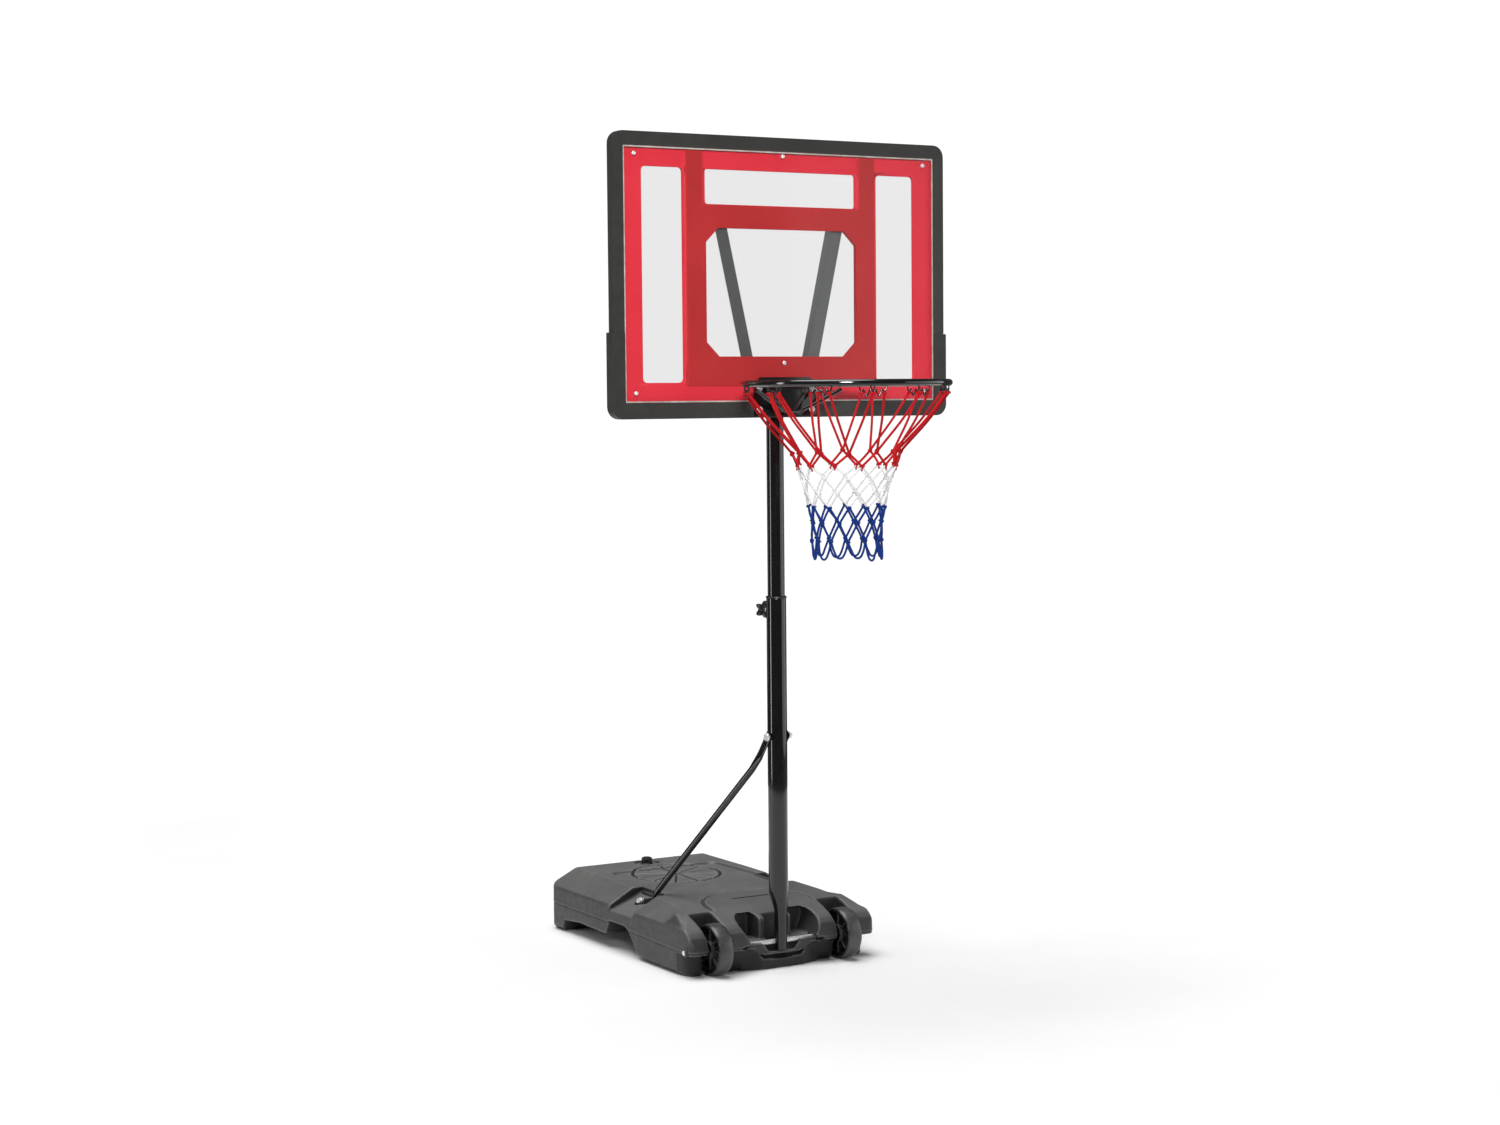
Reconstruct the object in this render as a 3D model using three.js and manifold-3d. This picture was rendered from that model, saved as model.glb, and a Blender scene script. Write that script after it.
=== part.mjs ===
// Portable basketball hoop on a water-filled wheeled base, in millimetres, +Z up.
// The hoop faces -Y and +X is to the right of a viewer standing in front of it.
// The row's origin is on the floor, at the middle of the object's outline.
// Inside the hoop group the pole's axis is at X = 0, Y = 0.

import * as THREE from 'three';
import { mergeVertices } from 'three/addons/utils/BufferGeometryUtils.js';
import Module from 'manifold-3d';

// ---------------------------------------------------------------- driving dimensions

const GAP = 0.3;                 // between touching pieces
const SIDES = [-1, 1];           // left, right

// base tank
const BASE_BACK = 606;
const BASE_FRONT = -24;
const BASE_HALF = 218;
const DECK_BACK_Z = 129;
const DECK_FRONT_Z = 124.5;
const RIDGE_HALF = 155;
const SHOULDER_Z = 94;
const CORNER_R = 26;
const FENDER_R = 20;             // outer edge of the two wheel fenders
const FRONT_CORNER_R = 14;
const SKIRT_Z = 46;              // lower edge of the front skirt
const LOWER_CORNER_R = 34;       // corners of the body under the skirt

// axle and wheels
const AXLE_R = 5;
const AXLE_Y = -2;
const WHEEL_R = 52;
const AXLE_Z = WHEEL_R + GAP;
const AXLE_HALF = 224;
const WHEEL_X = 152;
const WHEEL_HALF_WIDTH = 18;
const SLOT_HALF = 25;            // wheel slot in the base

// pole
const LOWER_R = 20;
const LOWER_WALL = 1.5;
const LOWER_FOOT_Z = 36.5;
const LOWER_TOP_Z = 750;
const SWAGE_R = 13.8;
const SWAGE_SHIFT = -8;          // the swaged foot sits forward of the pole's axis
const SWAGE_LOW_Z = 112;
const SWAGE_HIGH_Z = 158;
const UPPER_R = 17.3;
const UPPER_WALL = 1.5;
const UPPER_TOP_Z = 1215;
const HOLE_PITCH = 50;           // height settings
const SETTINGS = 4;
const KNOB_Z = 724;

// braces
const CROSS_BOLT_Z = 470;
const CROSS_BOLT_R = 4;
const UPPER_FOOT_Z = CROSS_BOLT_Z + CROSS_BOLT_R + GAP;
const BRACE_R = 7;
const BRACE_PLATE = 3;
const BRACE_FOOT = new THREE.Vector3(168, 278, 0);
const FLOOR_TILT = 0.42;         // rise of the brace pocket's floor towards the middle
const FLOOR_EDGE_Z = 82;
const POCKET_INNER = 134;        // inner end of the brace pocket

// board
const BOARD_FRONT = -39;         // back of the frame's front lip
const FRAME_LIP = 3;
const SHEET = 3;
const MOULDING = 10.4;
const BOARD_TOP = 1666;
const BOARD_BOTTOM = 1114;
const FRAME_SPLIT_Z = 1281;
const UPPER_FRAME_HALF = 384;
const LOWER_FRAME_HALF = 389;
const FRAME_OPEN_HALF = 360;
const FRAME_OPEN_TOP = 1639;
const FRAME_OPEN_BOTTOM = 1145;
const FRAME_CORNER_R = 24;
const PANEL_HALF = 377;
const PANEL_TOP = 1659;
const PANEL_BOTTOM = 1122;
const SHEET_FRONT = BOARD_FRONT + GAP;
const MOULDING_FRONT = SHEET_FRONT + SHEET + GAP;
const MOULDING_BACK = MOULDING_FRONT + MOULDING;
const FRAME_BACK = MOULDING_BACK + GAP;

// windows of the moulding: [low X, high X, low Z, high Z, corner size]
const WINDOWS = [
  [-316, -224, 1184, 1601, 9],
  [224, 316, 1184, 1601, 9],
  [-175, 175, 1532, 1600, 6],
  [-174.5, 174.5, 1235, 1486, 28],
];

// rim
const RIM_R = 197.2;             // ring's centre line
const RIM_WIRE = 7;
const RIM_Z = 1180;
const RIM_Y = BOARD_FRONT - 226;
const ROD_R = 4;
const ROD_ANGLE = THREE.MathUtils.degToRad(30);
const RIM_PLATE = 4;
const BRACKET_DEPTH = 24;
const RIM_BOLT_X = 61;
const RIM_BOLT_Z = [1130, 1171];
const RIM_BOLT_R = 3;

// net
const HOOKS = 12;
const HOOK_WIRE = 1.5;
const HOOK_DROP = 12;
const HOOK_HALF = 7;
const NET_WALL = 3;
const NET_PROFILE = [[190, 1160], [148, 1105], [106, 1048], [86, 985], [73, 946], [67, 900], [67, 842]];

// struts behind the board, a V of two angles
const STRUT_FACE = 26;
const STRUT_FLANGE = 22;
const STRUT_WALL = 2;
const STRUT_LOW = new THREE.Vector2(52, 1121);
const STRUT_HIGH = new THREE.Vector2(141, 1516);

// ---------------------------------------------------------------- materials

function paint(color, roughness, metalness) {
  return new THREE.MeshStandardMaterial({ color, roughness, metalness });
}
const black_steel = paint(0x17181a, 0.28, 0.35);
const grey_steel = paint(0x6d6f70, 0.45, 0.5);
const zinc = paint(0xc4c8cc, 0.3, 0.9);
const tank_plastic = paint(0x4b4b4b, 0.55, 0);
const black_plastic = paint(0x1b1b1c, 0.4, 0);
const frame_plastic = paint(0x343432, 0.5, 0);
const red_plastic = paint(0xc72531, 0.35, 0);
const clear_plastic = paint(0xdfe6e8, 0.08, 0);
clear_plastic.transparent = true;
clear_plastic.opacity = 0.3;
const net_cord = paint(0xd02030, 0.8, 0);

// ---------------------------------------------------------------- solid helpers

const wasm = await Module();
wasm.setup();

function bare(geometry) {
  const copy = geometry.clone();
  for (const name of ['normal', 'uv']) copy.deleteAttribute(name);
  copy.clearGroups();
  return mergeVertices(copy, 1e-4);
}

function toSolid(geometry) {
  const merged = bare(geometry);
  return new wasm.Manifold(new wasm.Mesh({
    numProp: 3,
    vertProperties: new Float32Array(merged.attributes.position.array),
    triVerts: new Uint32Array(merged.index.array),
  }));
}

function toGeometry(solid) {
  const mesh = solid.getMesh();
  const geometry = new THREE.BufferGeometry();
  geometry.setAttribute('position', new THREE.BufferAttribute(new Float32Array(mesh.vertProperties), 3));
  geometry.setIndex(new THREE.BufferAttribute(new Uint32Array(mesh.triVerts), 1));
  geometry.computeVertexNormals();
  return geometry;
}

const join = (...parts) => toGeometry(parts.map(toSolid).reduce((sum, part) => sum.add(part)));
const without = (rest, tool) => rest.subtract(tool);
const cut = (body, ...tools) => toGeometry(tools.map(toSolid).reduce(without, toSolid(body)));
const common = (...parts) => toGeometry(parts.map(toSolid).reduce((sum, part) => sum.intersect(part)));

function block(x0, x1, y0, y1, z0, z1) {
  const box = new THREE.BoxGeometry(x1 - x0, y1 - y0, z1 - z0);
  return box.translate((x0 + x1) / 2, (y0 + y1) / 2, (z0 + z1) / 2);
}

const vec = (x, y, z) => new THREE.Vector3(x, y, z);

// round bar between two points
function bar(radius, from, to, sides = 20) {
  const span = to.clone().sub(from);
  const cylinder = new THREE.CylinderGeometry(radius, radius, span.length(), sides);
  cylinder.applyQuaternion(new THREE.Quaternion().setFromUnitVectors(vec(0, 1, 0), span.normalize()));
  return cylinder.translate((from.x + to.x) / 2, (from.y + to.y) / 2, (from.z + to.z) / 2);
}

// flat bar between two points: its faces look along normal
function strap(width, thick, from, to, normal) {
  const along = to.clone().sub(from);
  const length = along.length();
  along.normalize();
  const out = normal.clone().addScaledVector(along, -normal.dot(along)).normalize();
  const across = along.clone().cross(out);
  const middle = from.clone().add(to).multiplyScalar(0.5);
  const place = new THREE.Matrix4().makeBasis(across, along, out).setPosition(middle);
  return new THREE.BoxGeometry(width, length, thick).applyMatrix4(place);
}

// turned piece: profile of [radius, height] points, axis along +Z
function turned(profile, sides = 24) {
  const points = profile.map(([r, z]) => new THREE.Vector2(r, z));
  return new THREE.LatheGeometry(points, sides).rotateX(Math.PI / 2);
}

const shapeOf = (points) => new THREE.Shape(points.map(([a, b]) => new THREE.Vector2(a, b)));
const AXES = {
  X: new THREE.Matrix4().makeBasis(vec(0, 1, 0), vec(0, 0, 1), vec(1, 0, 0)),
  Y: new THREE.Matrix4().makeBasis(vec(1, 0, 0), vec(0, 0, 1), vec(0, -1, 0)),
  Z: new THREE.Matrix4(),
};

// shape drawn across the named axis and pushed from low to high along it
function pushed(shape, axis, low, high, curveSegments = 6) {
  const solid = new THREE.ExtrudeGeometry(shape, { depth: high - low, bevelEnabled: false, curveSegments });
  solid.applyMatrix4(AXES[axis]);
  const start = axis === 'Y' ? high : low;
  return solid.translate(axis === 'X' ? start : 0, axis === 'Y' ? start : 0, axis === 'Z' ? start : 0);
}

// rectangle with round corners, square where the radius is 0: low-left, low-right, high-right, high-left
function roundedRectangle(x0, x1, y0, y1, radii) {
  const [ll, lr, hr, hl] = radii;
  const shape = new THREE.Shape();
  shape.moveTo(x0 + ll, y0);
  shape.lineTo(x1 - lr, y0);
  if (lr) shape.absarc(x1 - lr, y0 + lr, lr, -Math.PI / 2, 0, false);
  shape.lineTo(x1, y1 - hr);
  if (hr) shape.absarc(x1 - hr, y1 - hr, hr, 0, Math.PI / 2, false);
  shape.lineTo(x0 + hl, y1);
  if (hl) shape.absarc(x0 + hl, y1 - hl, hl, Math.PI / 2, Math.PI, false);
  shape.lineTo(x0, y0 + ll);
  if (ll) shape.absarc(x0 + ll, y0 + ll, ll, Math.PI, Math.PI * 1.5, false);
  return shape;
}

// ---------------------------------------------------------------- assembly helpers

const hoop = new THREE.Group();

function add(name, geometry, material, place = {}) {
  const mesh = new THREE.Mesh(geometry, material);
  mesh.name = name;
  if (place.position) mesh.position.copy(place.position);
  if (place.turn) mesh.quaternion.copy(place.turn);
  hoop.add(mesh);
  return mesh;
}

const sideName = (side) => (side < 0 ? 'left' : 'right');

// turn that takes +Z to a direction
function turnTo(direction) {
  return new THREE.Quaternion().setFromUnitVectors(vec(0, 0, 1), direction.clone().normalize());
}

// ---------------------------------------------------------------- base tank

const pocketNormal = (side) => vec(side * FLOOR_TILT, 0, 1).normalize();
const pocketFloorZ = (x) => FLOOR_EDGE_Z + FLOOR_TILT * (BASE_HALF - Math.abs(x));
const footPoint = (side) => vec(side * BRACE_FOOT.x, BRACE_FOOT.y, pocketFloorZ(BRACE_FOOT.x));

// nose profile [Y, Z], from the deck's front edge over the slope and down to the skirt's lower edge
const NOSE = [
  [116, 123], [60, 116], [27, 104.5], [5, 95], [-4, 89.5], [-15, 80], [-21, 71], [BASE_FRONT, 60],
  [BASE_FRONT, SKIRT_Z + 1],
];

function baseSideOutline() {
  return shapeOf([
    [20, 0], [168, 0], [204, 12], [244, 52], [258, 60], [330, 60], [346, 30], [470, 32], [538, 26], [550, 4],
    [560, 0], [596, 0], [606, 10], [606, 96], [592, DECK_BACK_Z], [420, DECK_BACK_Z], [172, DECK_FRONT_Z],
    ...NOSE, [-19, SKIRT_Z - 1], [-12, SKIRT_Z - 1], [2, 4], [6, 0],
  ]);
}

function baseFrontOutline() {
  const slope = (DECK_BACK_Z - SHOULDER_Z) / (BASE_HALF - RIDGE_HALF - 5);
  const top = SHOULDER_Z + slope * (BASE_HALF - RIDGE_HALF);
  return shapeOf([
    [-BASE_HALF + 12, -1], [BASE_HALF - 12, -1], [BASE_HALF, 12], [BASE_HALF, SHOULDER_Z],
    [RIDGE_HALF, top], [-RIDGE_HALF, top], [-BASE_HALF, SHOULDER_Z], [-BASE_HALF, 12],
  ]);
}

// waist pocket that takes a brace's foot: slanted walls front and back, floor falling outwards
function bracePocket(side) {
  const outline = shapeOf([[232, 0], [328, 0], [306, 60], [178, 60]]);
  const depth = BASE_HALF - POCKET_INNER;
  const tool = pushed(outline, 'X', 0, depth + 20);
  if (side < 0) tool.translate(-depth - 20, 0, 0);
  const tilt = new THREE.Matrix4().makeRotationY(side * Math.atan(FLOOR_TILT));
  return tool.applyMatrix4(tilt).translate(side * POCKET_INNER, 0, pocketFloorZ(POCKET_INNER));
}

// hump over a wheel: follows the nose to its outer edge, rounds over it and runs out on the shoulder behind
function fender(side) {
  const points = [];
  for (const [y, z] of NOSE) {
    points.push([150, y, z]);
    for (let i = 0; i <= 3; i += 1) {
      const turn = (i * Math.PI) / 6;
      const x = BASE_HALF - FENDER_R * (1 - Math.cos(turn));
      const drop = FENDER_R * (1 - Math.sin(turn));
      if (y < 60) points.push([x, y, Math.max(SKIRT_Z + 1, z - drop)]);
    }
  }
  points.push([BASE_HALF - FENDER_R, 70, 116], [184, 106, 112], [BASE_HALF, 96, SHOULDER_Z - 2]);
  points.push([150, 120, 122.5], [150, 120, 70], [BASE_HALF, 96, SKIRT_Z + 1]);
  return toGeometry(wasm.Manifold.hull(points.map(([x, y, z]) => [side * x, y, z])));
}

// what is taken from under the skirt outside the wheel slots, leaving a set-back body with round corners
function underSkirt() {
  const corners = [LOWER_CORNER_R, LOWER_CORNER_R, 0, 0];
  const body = roundedRectangle(4 - BASE_HALF, BASE_HALF - 4, 2, 300, corners);
  return cut(
    block(-BASE_HALF - 5, BASE_HALF + 5, -60, 2 + LOWER_CORNER_R, -5, SKIRT_Z),
    pushed(body, 'Z', -6, SKIRT_Z + 1),
    block(-WHEEL_X, WHEEL_X, -61, 60, -6, SKIRT_Z + 1),
  );
}

// body that steps forward between the wheels, below the lip
function middleStep() {
  return pushed(shapeOf([[-92, 12], [-92, -2], [-50, -16], [50, -16], [92, -2], [92, 12]]), 'Z', 0, SKIRT_Z);
}

// arched opening beside the pole's foot
function frontPocket(side) {
  const outline = [
    [38, 57], [75, 57], [81, 65], [86, 76], [90, 86], [91, 94], [89, 101], [83, 106], [74, 109], [48, 109],
    [42, 107], [38, 102],
  ];
  return pushed(shapeOf(outline.map(([x, z]) => [side * x, z])), 'Y', -60, 60);
}

// gap under the nose that bares the axle, with a small arch at each end
function noseGap() {
  const half = [[44, 22], [66, SKIRT_Z], [100, SKIRT_Z], [94, 53], [84, 53], [79, 57.5]];
  const mirrored = half.map(([x, z]) => [-x, z]).reverse();
  return pushed(shapeOf([...half, ...mirrored]), 'Y', -60, 8);
}

// lip in front of the axle, dipping under the pole's foot
function frontLip() {
  const half = [[42, 28], [61, 40], [89, 52.5], [89, 58], [78, 58], [47, 55], [30, 35.5]];
  const mirrored = half.map(([x, z]) => [-x, z]).reverse();
  return pushed(shapeOf([...half, ...mirrored]), 'Y', -14, -8);
}

const FILLER = vec(0, 560, DECK_BACK_Z);
const FILLER_RECESS = 6;
const NECK_R = 11;
const NECK_DEPTH = 30;

function baseTank() {
  const side = pushed(baseSideOutline(), 'X', -BASE_HALF - 1, BASE_HALF + 1);
  const plan = pushed(roundedRectangle(-BASE_HALF, BASE_HALF, BASE_FRONT, BASE_BACK,
    [FRONT_CORNER_R, FRONT_CORNER_R, CORNER_R, CORNER_R]), 'Z', -1, DECK_BACK_Z + 1);
  const front = pushed(baseFrontOutline(), 'Y', BASE_FRONT - 1, BASE_BACK + 1);
  const blank = join(common(side, plan, join(front, ...SIDES.map(fender))), middleStep());
  const poleSlot = block(-24, 24, -60, 30, 20, DECK_BACK_Z);
  const slotMouth = block(-39, 39, -60, 14, 57, DECK_BACK_Z);
  const deckSlot = block(-47, 47, 110, 115, 119, DECK_BACK_Z);
  const tools = [underSkirt(), noseGap(), poleSlot, slotMouth, deckSlot];
  for (const hand of SIDES) {
    const middle = hand * WHEEL_X;
    tools.push(block(middle - SLOT_HALF, middle + SLOT_HALF, -60, 59, -10, DECK_BACK_Z));
    tools.push(bracePocket(hand));
    tools.push(frontPocket(hand));
    const foot = footPoint(hand);
    const normal = pocketNormal(hand);
    const holeFoot = foot.clone().addScaledVector(normal, -27);
    tools.push(bar(4.4, holeFoot, foot.clone().addScaledVector(normal, 20), 12));
  }
  tools.push(bar(AXLE_R + GAP, vec(-250, AXLE_Y, AXLE_Z), vec(250, AXLE_Y, AXLE_Z), 16));
  tools.push(bar(27, vec(0, FILLER.y, FILLER.z - FILLER_RECESS), vec(0, FILLER.y, FILLER.z + 10), 32));
  tools.push(bar(NECK_R, vec(0, FILLER.y, FILLER.z - NECK_DEPTH), vec(0, FILLER.y, FILLER.z), 20));
  return join(cut(blank, ...tools), frontLip());
}

add('base_tank', baseTank(), tank_plastic);

add('filler_cap', turned([
  [0, -22], [NECK_R - 0.6, -22], [NECK_R - 0.6, -GAP], [14, -GAP], [14, 3], [12, 4], [12, 14], [10, 17],
  [0, 17],
]), black_plastic, { position: vec(0, FILLER.y, FILLER.z - FILLER_RECESS + 2 * GAP) });

// ---------------------------------------------------------------- axle and wheels

const acrossX = turnTo(vec(1, 0, 0));
add('axle', bar(AXLE_R, vec(-AXLE_HALF, AXLE_Y, AXLE_Z), vec(AXLE_HALF, AXLE_Y, AXLE_Z), 16), zinc);

const wheelProfile = [
  [AXLE_R + GAP, -WHEEL_HALF_WIDTH], [14, -WHEEL_HALF_WIDTH], [17, -9], [39, -9], [44, -16], [48, -17],
  [51, -14.5], [WHEEL_R, -10], [WHEEL_R, 10], [51, 14.5], [48, 17], [44, 16], [39, 9], [17, 9],
  [14, WHEEL_HALF_WIDTH],
  [AXLE_R + GAP, WHEEL_HALF_WIDTH], [AXLE_R + GAP, -WHEEL_HALF_WIDTH],
];
const pushNutProfile = [[AXLE_R + GAP, 0], [9, 0], [8, 3], [AXLE_R + GAP, 4], [AXLE_R + GAP, 0]];
for (const side of SIDES) {
  const place = { position: vec(side * WHEEL_X, AXLE_Y, AXLE_Z), turn: acrossX };
  add(`wheel_${sideName(side)}`, turned(wheelProfile, 36), black_plastic, place);
  add(`axle_cap_${sideName(side)}`, turned(pushNutProfile, 16), zinc, {
    position: vec(side * (BASE_HALF + GAP), AXLE_Y, AXLE_Z),
    turn: turnTo(vec(side, 0, 0)),
  });
}

// ---------------------------------------------------------------- lower pole, its collar and height knob

// swaged tube: rings of [centre Y, radius, height], the foot narrower and forward of the axis
function lowerPole() {
  const sides = 28;
  const rings = [
    [SWAGE_SHIFT, SWAGE_R - 1.5, LOWER_FOOT_Z], [SWAGE_SHIFT, SWAGE_R, SWAGE_LOW_Z],
    [0, LOWER_R, SWAGE_HIGH_Z], [0, LOWER_R, LOWER_TOP_Z],
  ];
  const shell = (inset, extra) => {
    const positions = [];
    for (const [cy, r, z] of rings) {
      const end = z === LOWER_FOOT_Z ? -extra : z === LOWER_TOP_Z ? extra : 0;
      for (let i = 0; i < sides; i += 1) {
        const angle = (2 * Math.PI * i) / sides;
        positions.push((r - inset) * Math.cos(angle), cy + (r - inset) * Math.sin(angle), z + end);
      }
    }
    const index = [];
    for (let ring = 0; ring < rings.length - 1; ring += 1) {
      for (let i = 0; i < sides; i += 1) {
        const a = ring * sides + i;
        const b = ring * sides + ((i + 1) % sides);
        index.push(a, b, b + sides, a, b + sides, a + sides);
      }
    }
    const top = (rings.length - 1) * sides;
    for (let i = 1; i < sides - 1; i += 1) {
      index.push(0, i + 1, i);
      index.push(top, top + i, top + i + 1);
    }
    const geometry = new THREE.BufferGeometry();
    geometry.setAttribute('position', new THREE.Float32BufferAttribute(positions, 3));
    geometry.setIndex(index);
    return geometry;
  };
  return cut(
    shell(0, 0), shell(LOWER_WALL, 1),
    bar(AXLE_R + GAP, vec(-40, AXLE_Y, AXLE_Z), vec(40, AXLE_Y, AXLE_Z), 16),
    bar(CROSS_BOLT_R + GAP, vec(-40, 0, CROSS_BOLT_Z), vec(40, 0, CROSS_BOLT_Z), 12),
    bar(4 + GAP, vec(0, 5, KNOB_Z), vec(0, 40, KNOB_Z), 12),
  );
}

add('lower_pole', lowerPole(), black_steel);

const BORE_R = UPPER_R + GAP;
add('pole_collar', turned([
  [BORE_R, -18], [LOWER_R - LOWER_WALL - GAP, -18], [LOWER_R - LOWER_WALL - GAP, GAP], [LOWER_R + 0.9, GAP],
  [LOWER_R + 1.2, 2.5], [LOWER_R + 0.3, 5], [BORE_R, 5], [BORE_R, -18],
], 28), black_plastic, { position: vec(0, 0, LOWER_TOP_Z) });

const backwards = turnTo(vec(0, 1, 0));
add('knob_nut', cut(
  turned([[0, 0], [8.5, 0], [7.5, 8], [0, 8]], 12),
  bar(4 + GAP, vec(0, 0, -5), vec(0, 0, 20), 12),
), black_steel, { position: vec(0, LOWER_R + GAP, KNOB_Z), turn: backwards });

add('knob_stud', bar(4, vec(0, UPPER_R + GAP, KNOB_Z), vec(0, 50, KNOB_Z), 12), zinc);

function starKnob() {
  const lobes = 5;
  const shape = new THREE.Shape();
  const steps = lobes * 8;
  for (let i = 0; i <= steps; i += 1) {
    const angle = (2 * Math.PI * i) / steps;
    const radius = 14.2 + 4.3 * Math.cos(lobes * angle);
    const x = radius * Math.sin(angle);
    const y = radius * Math.cos(angle);
    if (i === 0) shape.moveTo(x, y);
    else if (i < steps) shape.lineTo(x, y);
  }
  const head = pushed(shape, 'Z', 4, 18);
  const hub = turned([[0, 0], [8, 0], [9, 5], [0, 5]], 16);
  return cut(join(head, hub), bar(4 + GAP, vec(0, 0, -2), vec(0, 0, 13), 12));
}
add('height_knob', starKnob(), black_plastic, { position: vec(0, 37.5, KNOB_Z), turn: backwards });

// ---------------------------------------------------------------- braces

// hexagonal prism from low to high along Z
function hexagon(radius, low, high) {
  const prism = new THREE.CylinderGeometry(radius, radius, high - low, 6);
  return prism.rotateX(Math.PI / 2).translate(0, 0, (low + high) / 2);
}

// bolt along +Z with its head below Z = 0, and its nut at nutAt if it has one
function hexBolt(shank, length, head, nutAt) {
  const solid = [turned([[0, 0], [shank, 0], [shank, length], [0, length]], 12), hexagon(head, -5, 0)];
  if (nutAt) solid.push(hexagon(head, nutAt, nutAt + 5));
  return join(...solid);
}

const PLATE_IN = LOWER_R + 0.4;
const PLATE_OUT = PLATE_IN + BRACE_PLATE;
for (const side of SIDES) {
  const normal = pocketNormal(side);
  const foot = footPoint(side).addScaledVector(normal, GAP + BRACE_PLATE / 2);
  const inward = vec(-side * BRACE_FOOT.x, -BRACE_FOOT.y, 0).normalize();
  inward.addScaledVector(normal, -inward.dot(normal)).normalize();
  const bend = foot.clone().addScaledVector(inward, 32);
  const plateX = side * (PLATE_IN + BRACE_PLATE / 2);
  const top = vec(plateX, 0, CROSS_BOLT_Z);
  const neck = vec(plateX, 34, CROSS_BOLT_Z - 44);
  const start = vec(plateX + side * 4, 22, CROSS_BOLT_Z - 30);
  const topEnd = top.clone().addScaledVector(neck.clone().sub(top).normalize(), -10);
  const tube = bar(BRACE_R, start, bend.clone().addScaledVector(normal, BRACE_R), 16);
  const footEnd = foot.clone().addScaledVector(inward, -11);
  const brace = cut(
    join(
      strap(18, BRACE_PLATE, topEnd, neck, vec(1, 0, 0)),
      tube,
      strap(20, BRACE_PLATE, footEnd, bend.clone().addScaledVector(inward, 8), normal),
    ),
    bar(CROSS_BOLT_R + GAP, vec(side * 10, 0, CROSS_BOLT_Z), vec(side * 40, 0, CROSS_BOLT_Z), 12),
    bar(4 + GAP, foot.clone().addScaledVector(normal, -10), foot.clone().addScaledVector(normal, 10), 12),
    block(side < 0 ? -PLATE_IN : 0, side < 0 ? 0 : PLATE_IN, -40, 40, 380, 520),
  );
  add(`brace_${sideName(side)}`, brace, black_steel);
  add(`brace_foot_bolt_${sideName(side)}`, hexBolt(4, 26, 7.5, 0), zinc, {
    position: foot.clone().addScaledVector(normal, BRACE_PLATE / 2 + GAP),
    turn: turnTo(normal.clone().negate()),
  });
}

add('brace_cross_bolt', hexBolt(CROSS_BOLT_R, 2 * PLATE_OUT + 12, 7.5, 0), zinc, {
  position: vec(-PLATE_OUT - GAP, 0, CROSS_BOLT_Z), turn: acrossX,
});
add('brace_cross_nut', cut(
  hexagon(7.5, -3, 3),
  bar(CROSS_BOLT_R + GAP, vec(0, 0, -5), vec(0, 0, 5), 12),
), zinc, { position: vec(PLATE_OUT + GAP + 3, 0, CROSS_BOLT_Z), turn: acrossX });

// ---------------------------------------------------------------- upper pole and its bracket

const POLE_BOLT_Z = [1146, 1192];
const poleBoltHoles = () => POLE_BOLT_Z.map((z) => bar(3 + GAP, vec(-40, 0, z), vec(40, 0, z), 12));

const settingHoles = Array.from({ length: SETTINGS }, (_, i) => KNOB_Z - i * HOLE_PITCH)
  .map((z) => bar(4.4, vec(0, 5, z), vec(0, 40, z), 12));
add('upper_pole', cut(
  bar(UPPER_R, vec(0, 0, UPPER_FOOT_Z), vec(0, 0, UPPER_TOP_Z), 28),
  bar(UPPER_R - UPPER_WALL, vec(0, 0, UPPER_FOOT_Z - 1), vec(0, 0, UPPER_TOP_Z + 1), 28),
  ...settingHoles, ...poleBoltHoles(),
), black_steel);

add('pole_top_cap', turned([
  [0, -10], [UPPER_R - UPPER_WALL - GAP, -10], [UPPER_R - UPPER_WALL - GAP, GAP], [UPPER_R, GAP],
  [UPPER_R - 1, 3], [0, 4],
], 28), black_plastic, { position: vec(0, 0, UPPER_TOP_Z) });

const BRACKET_PLATE_Y = FRAME_BACK + STRUT_WALL + GAP;
const rimBoltHoles = (radius) => SIDES.flatMap((side) => RIM_BOLT_Z.map((z) => (
  bar(radius, vec(side * RIM_BOLT_X, -60, z), vec(side * RIM_BOLT_X, 0, z), 12)
)));

function poleBracket() {
  const low = 1122;
  const high = 1206;
  const saddle = new THREE.Shape();
  const outer = UPPER_R + GAP + 3;
  saddle.moveTo(-outer, BRACKET_PLATE_Y + 1);
  saddle.lineTo(outer, BRACKET_PLATE_Y + 1);
  saddle.lineTo(outer, 0);
  saddle.absarc(0, 0, outer, 0, Math.PI, false);
  return cut(
    join(
      block(-78, 78, BRACKET_PLATE_Y, BRACKET_PLATE_Y + 3, low, high),
      pushed(saddle, 'Z', low + 6, high - 6, 16),
    ),
    bar(UPPER_R + GAP, vec(0, 0, low - 1), vec(0, 0, high + 1), 28),
    ...poleBoltHoles(), ...rimBoltHoles(RIM_BOLT_R + GAP),
  );
}
add('pole_bracket', poleBracket(), black_steel);

POLE_BOLT_Z.forEach((z, i) => {
  const reach = UPPER_R + GAP + 3 + GAP;
  add(`pole_bolt_${i ? 'upper' : 'lower'}`, hexBolt(3, 2 * reach + 5, 5.5, 2 * reach), zinc, {
    position: vec(-reach, 0, z), turn: acrossX,
  });
});

// ---------------------------------------------------------------- struts

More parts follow.
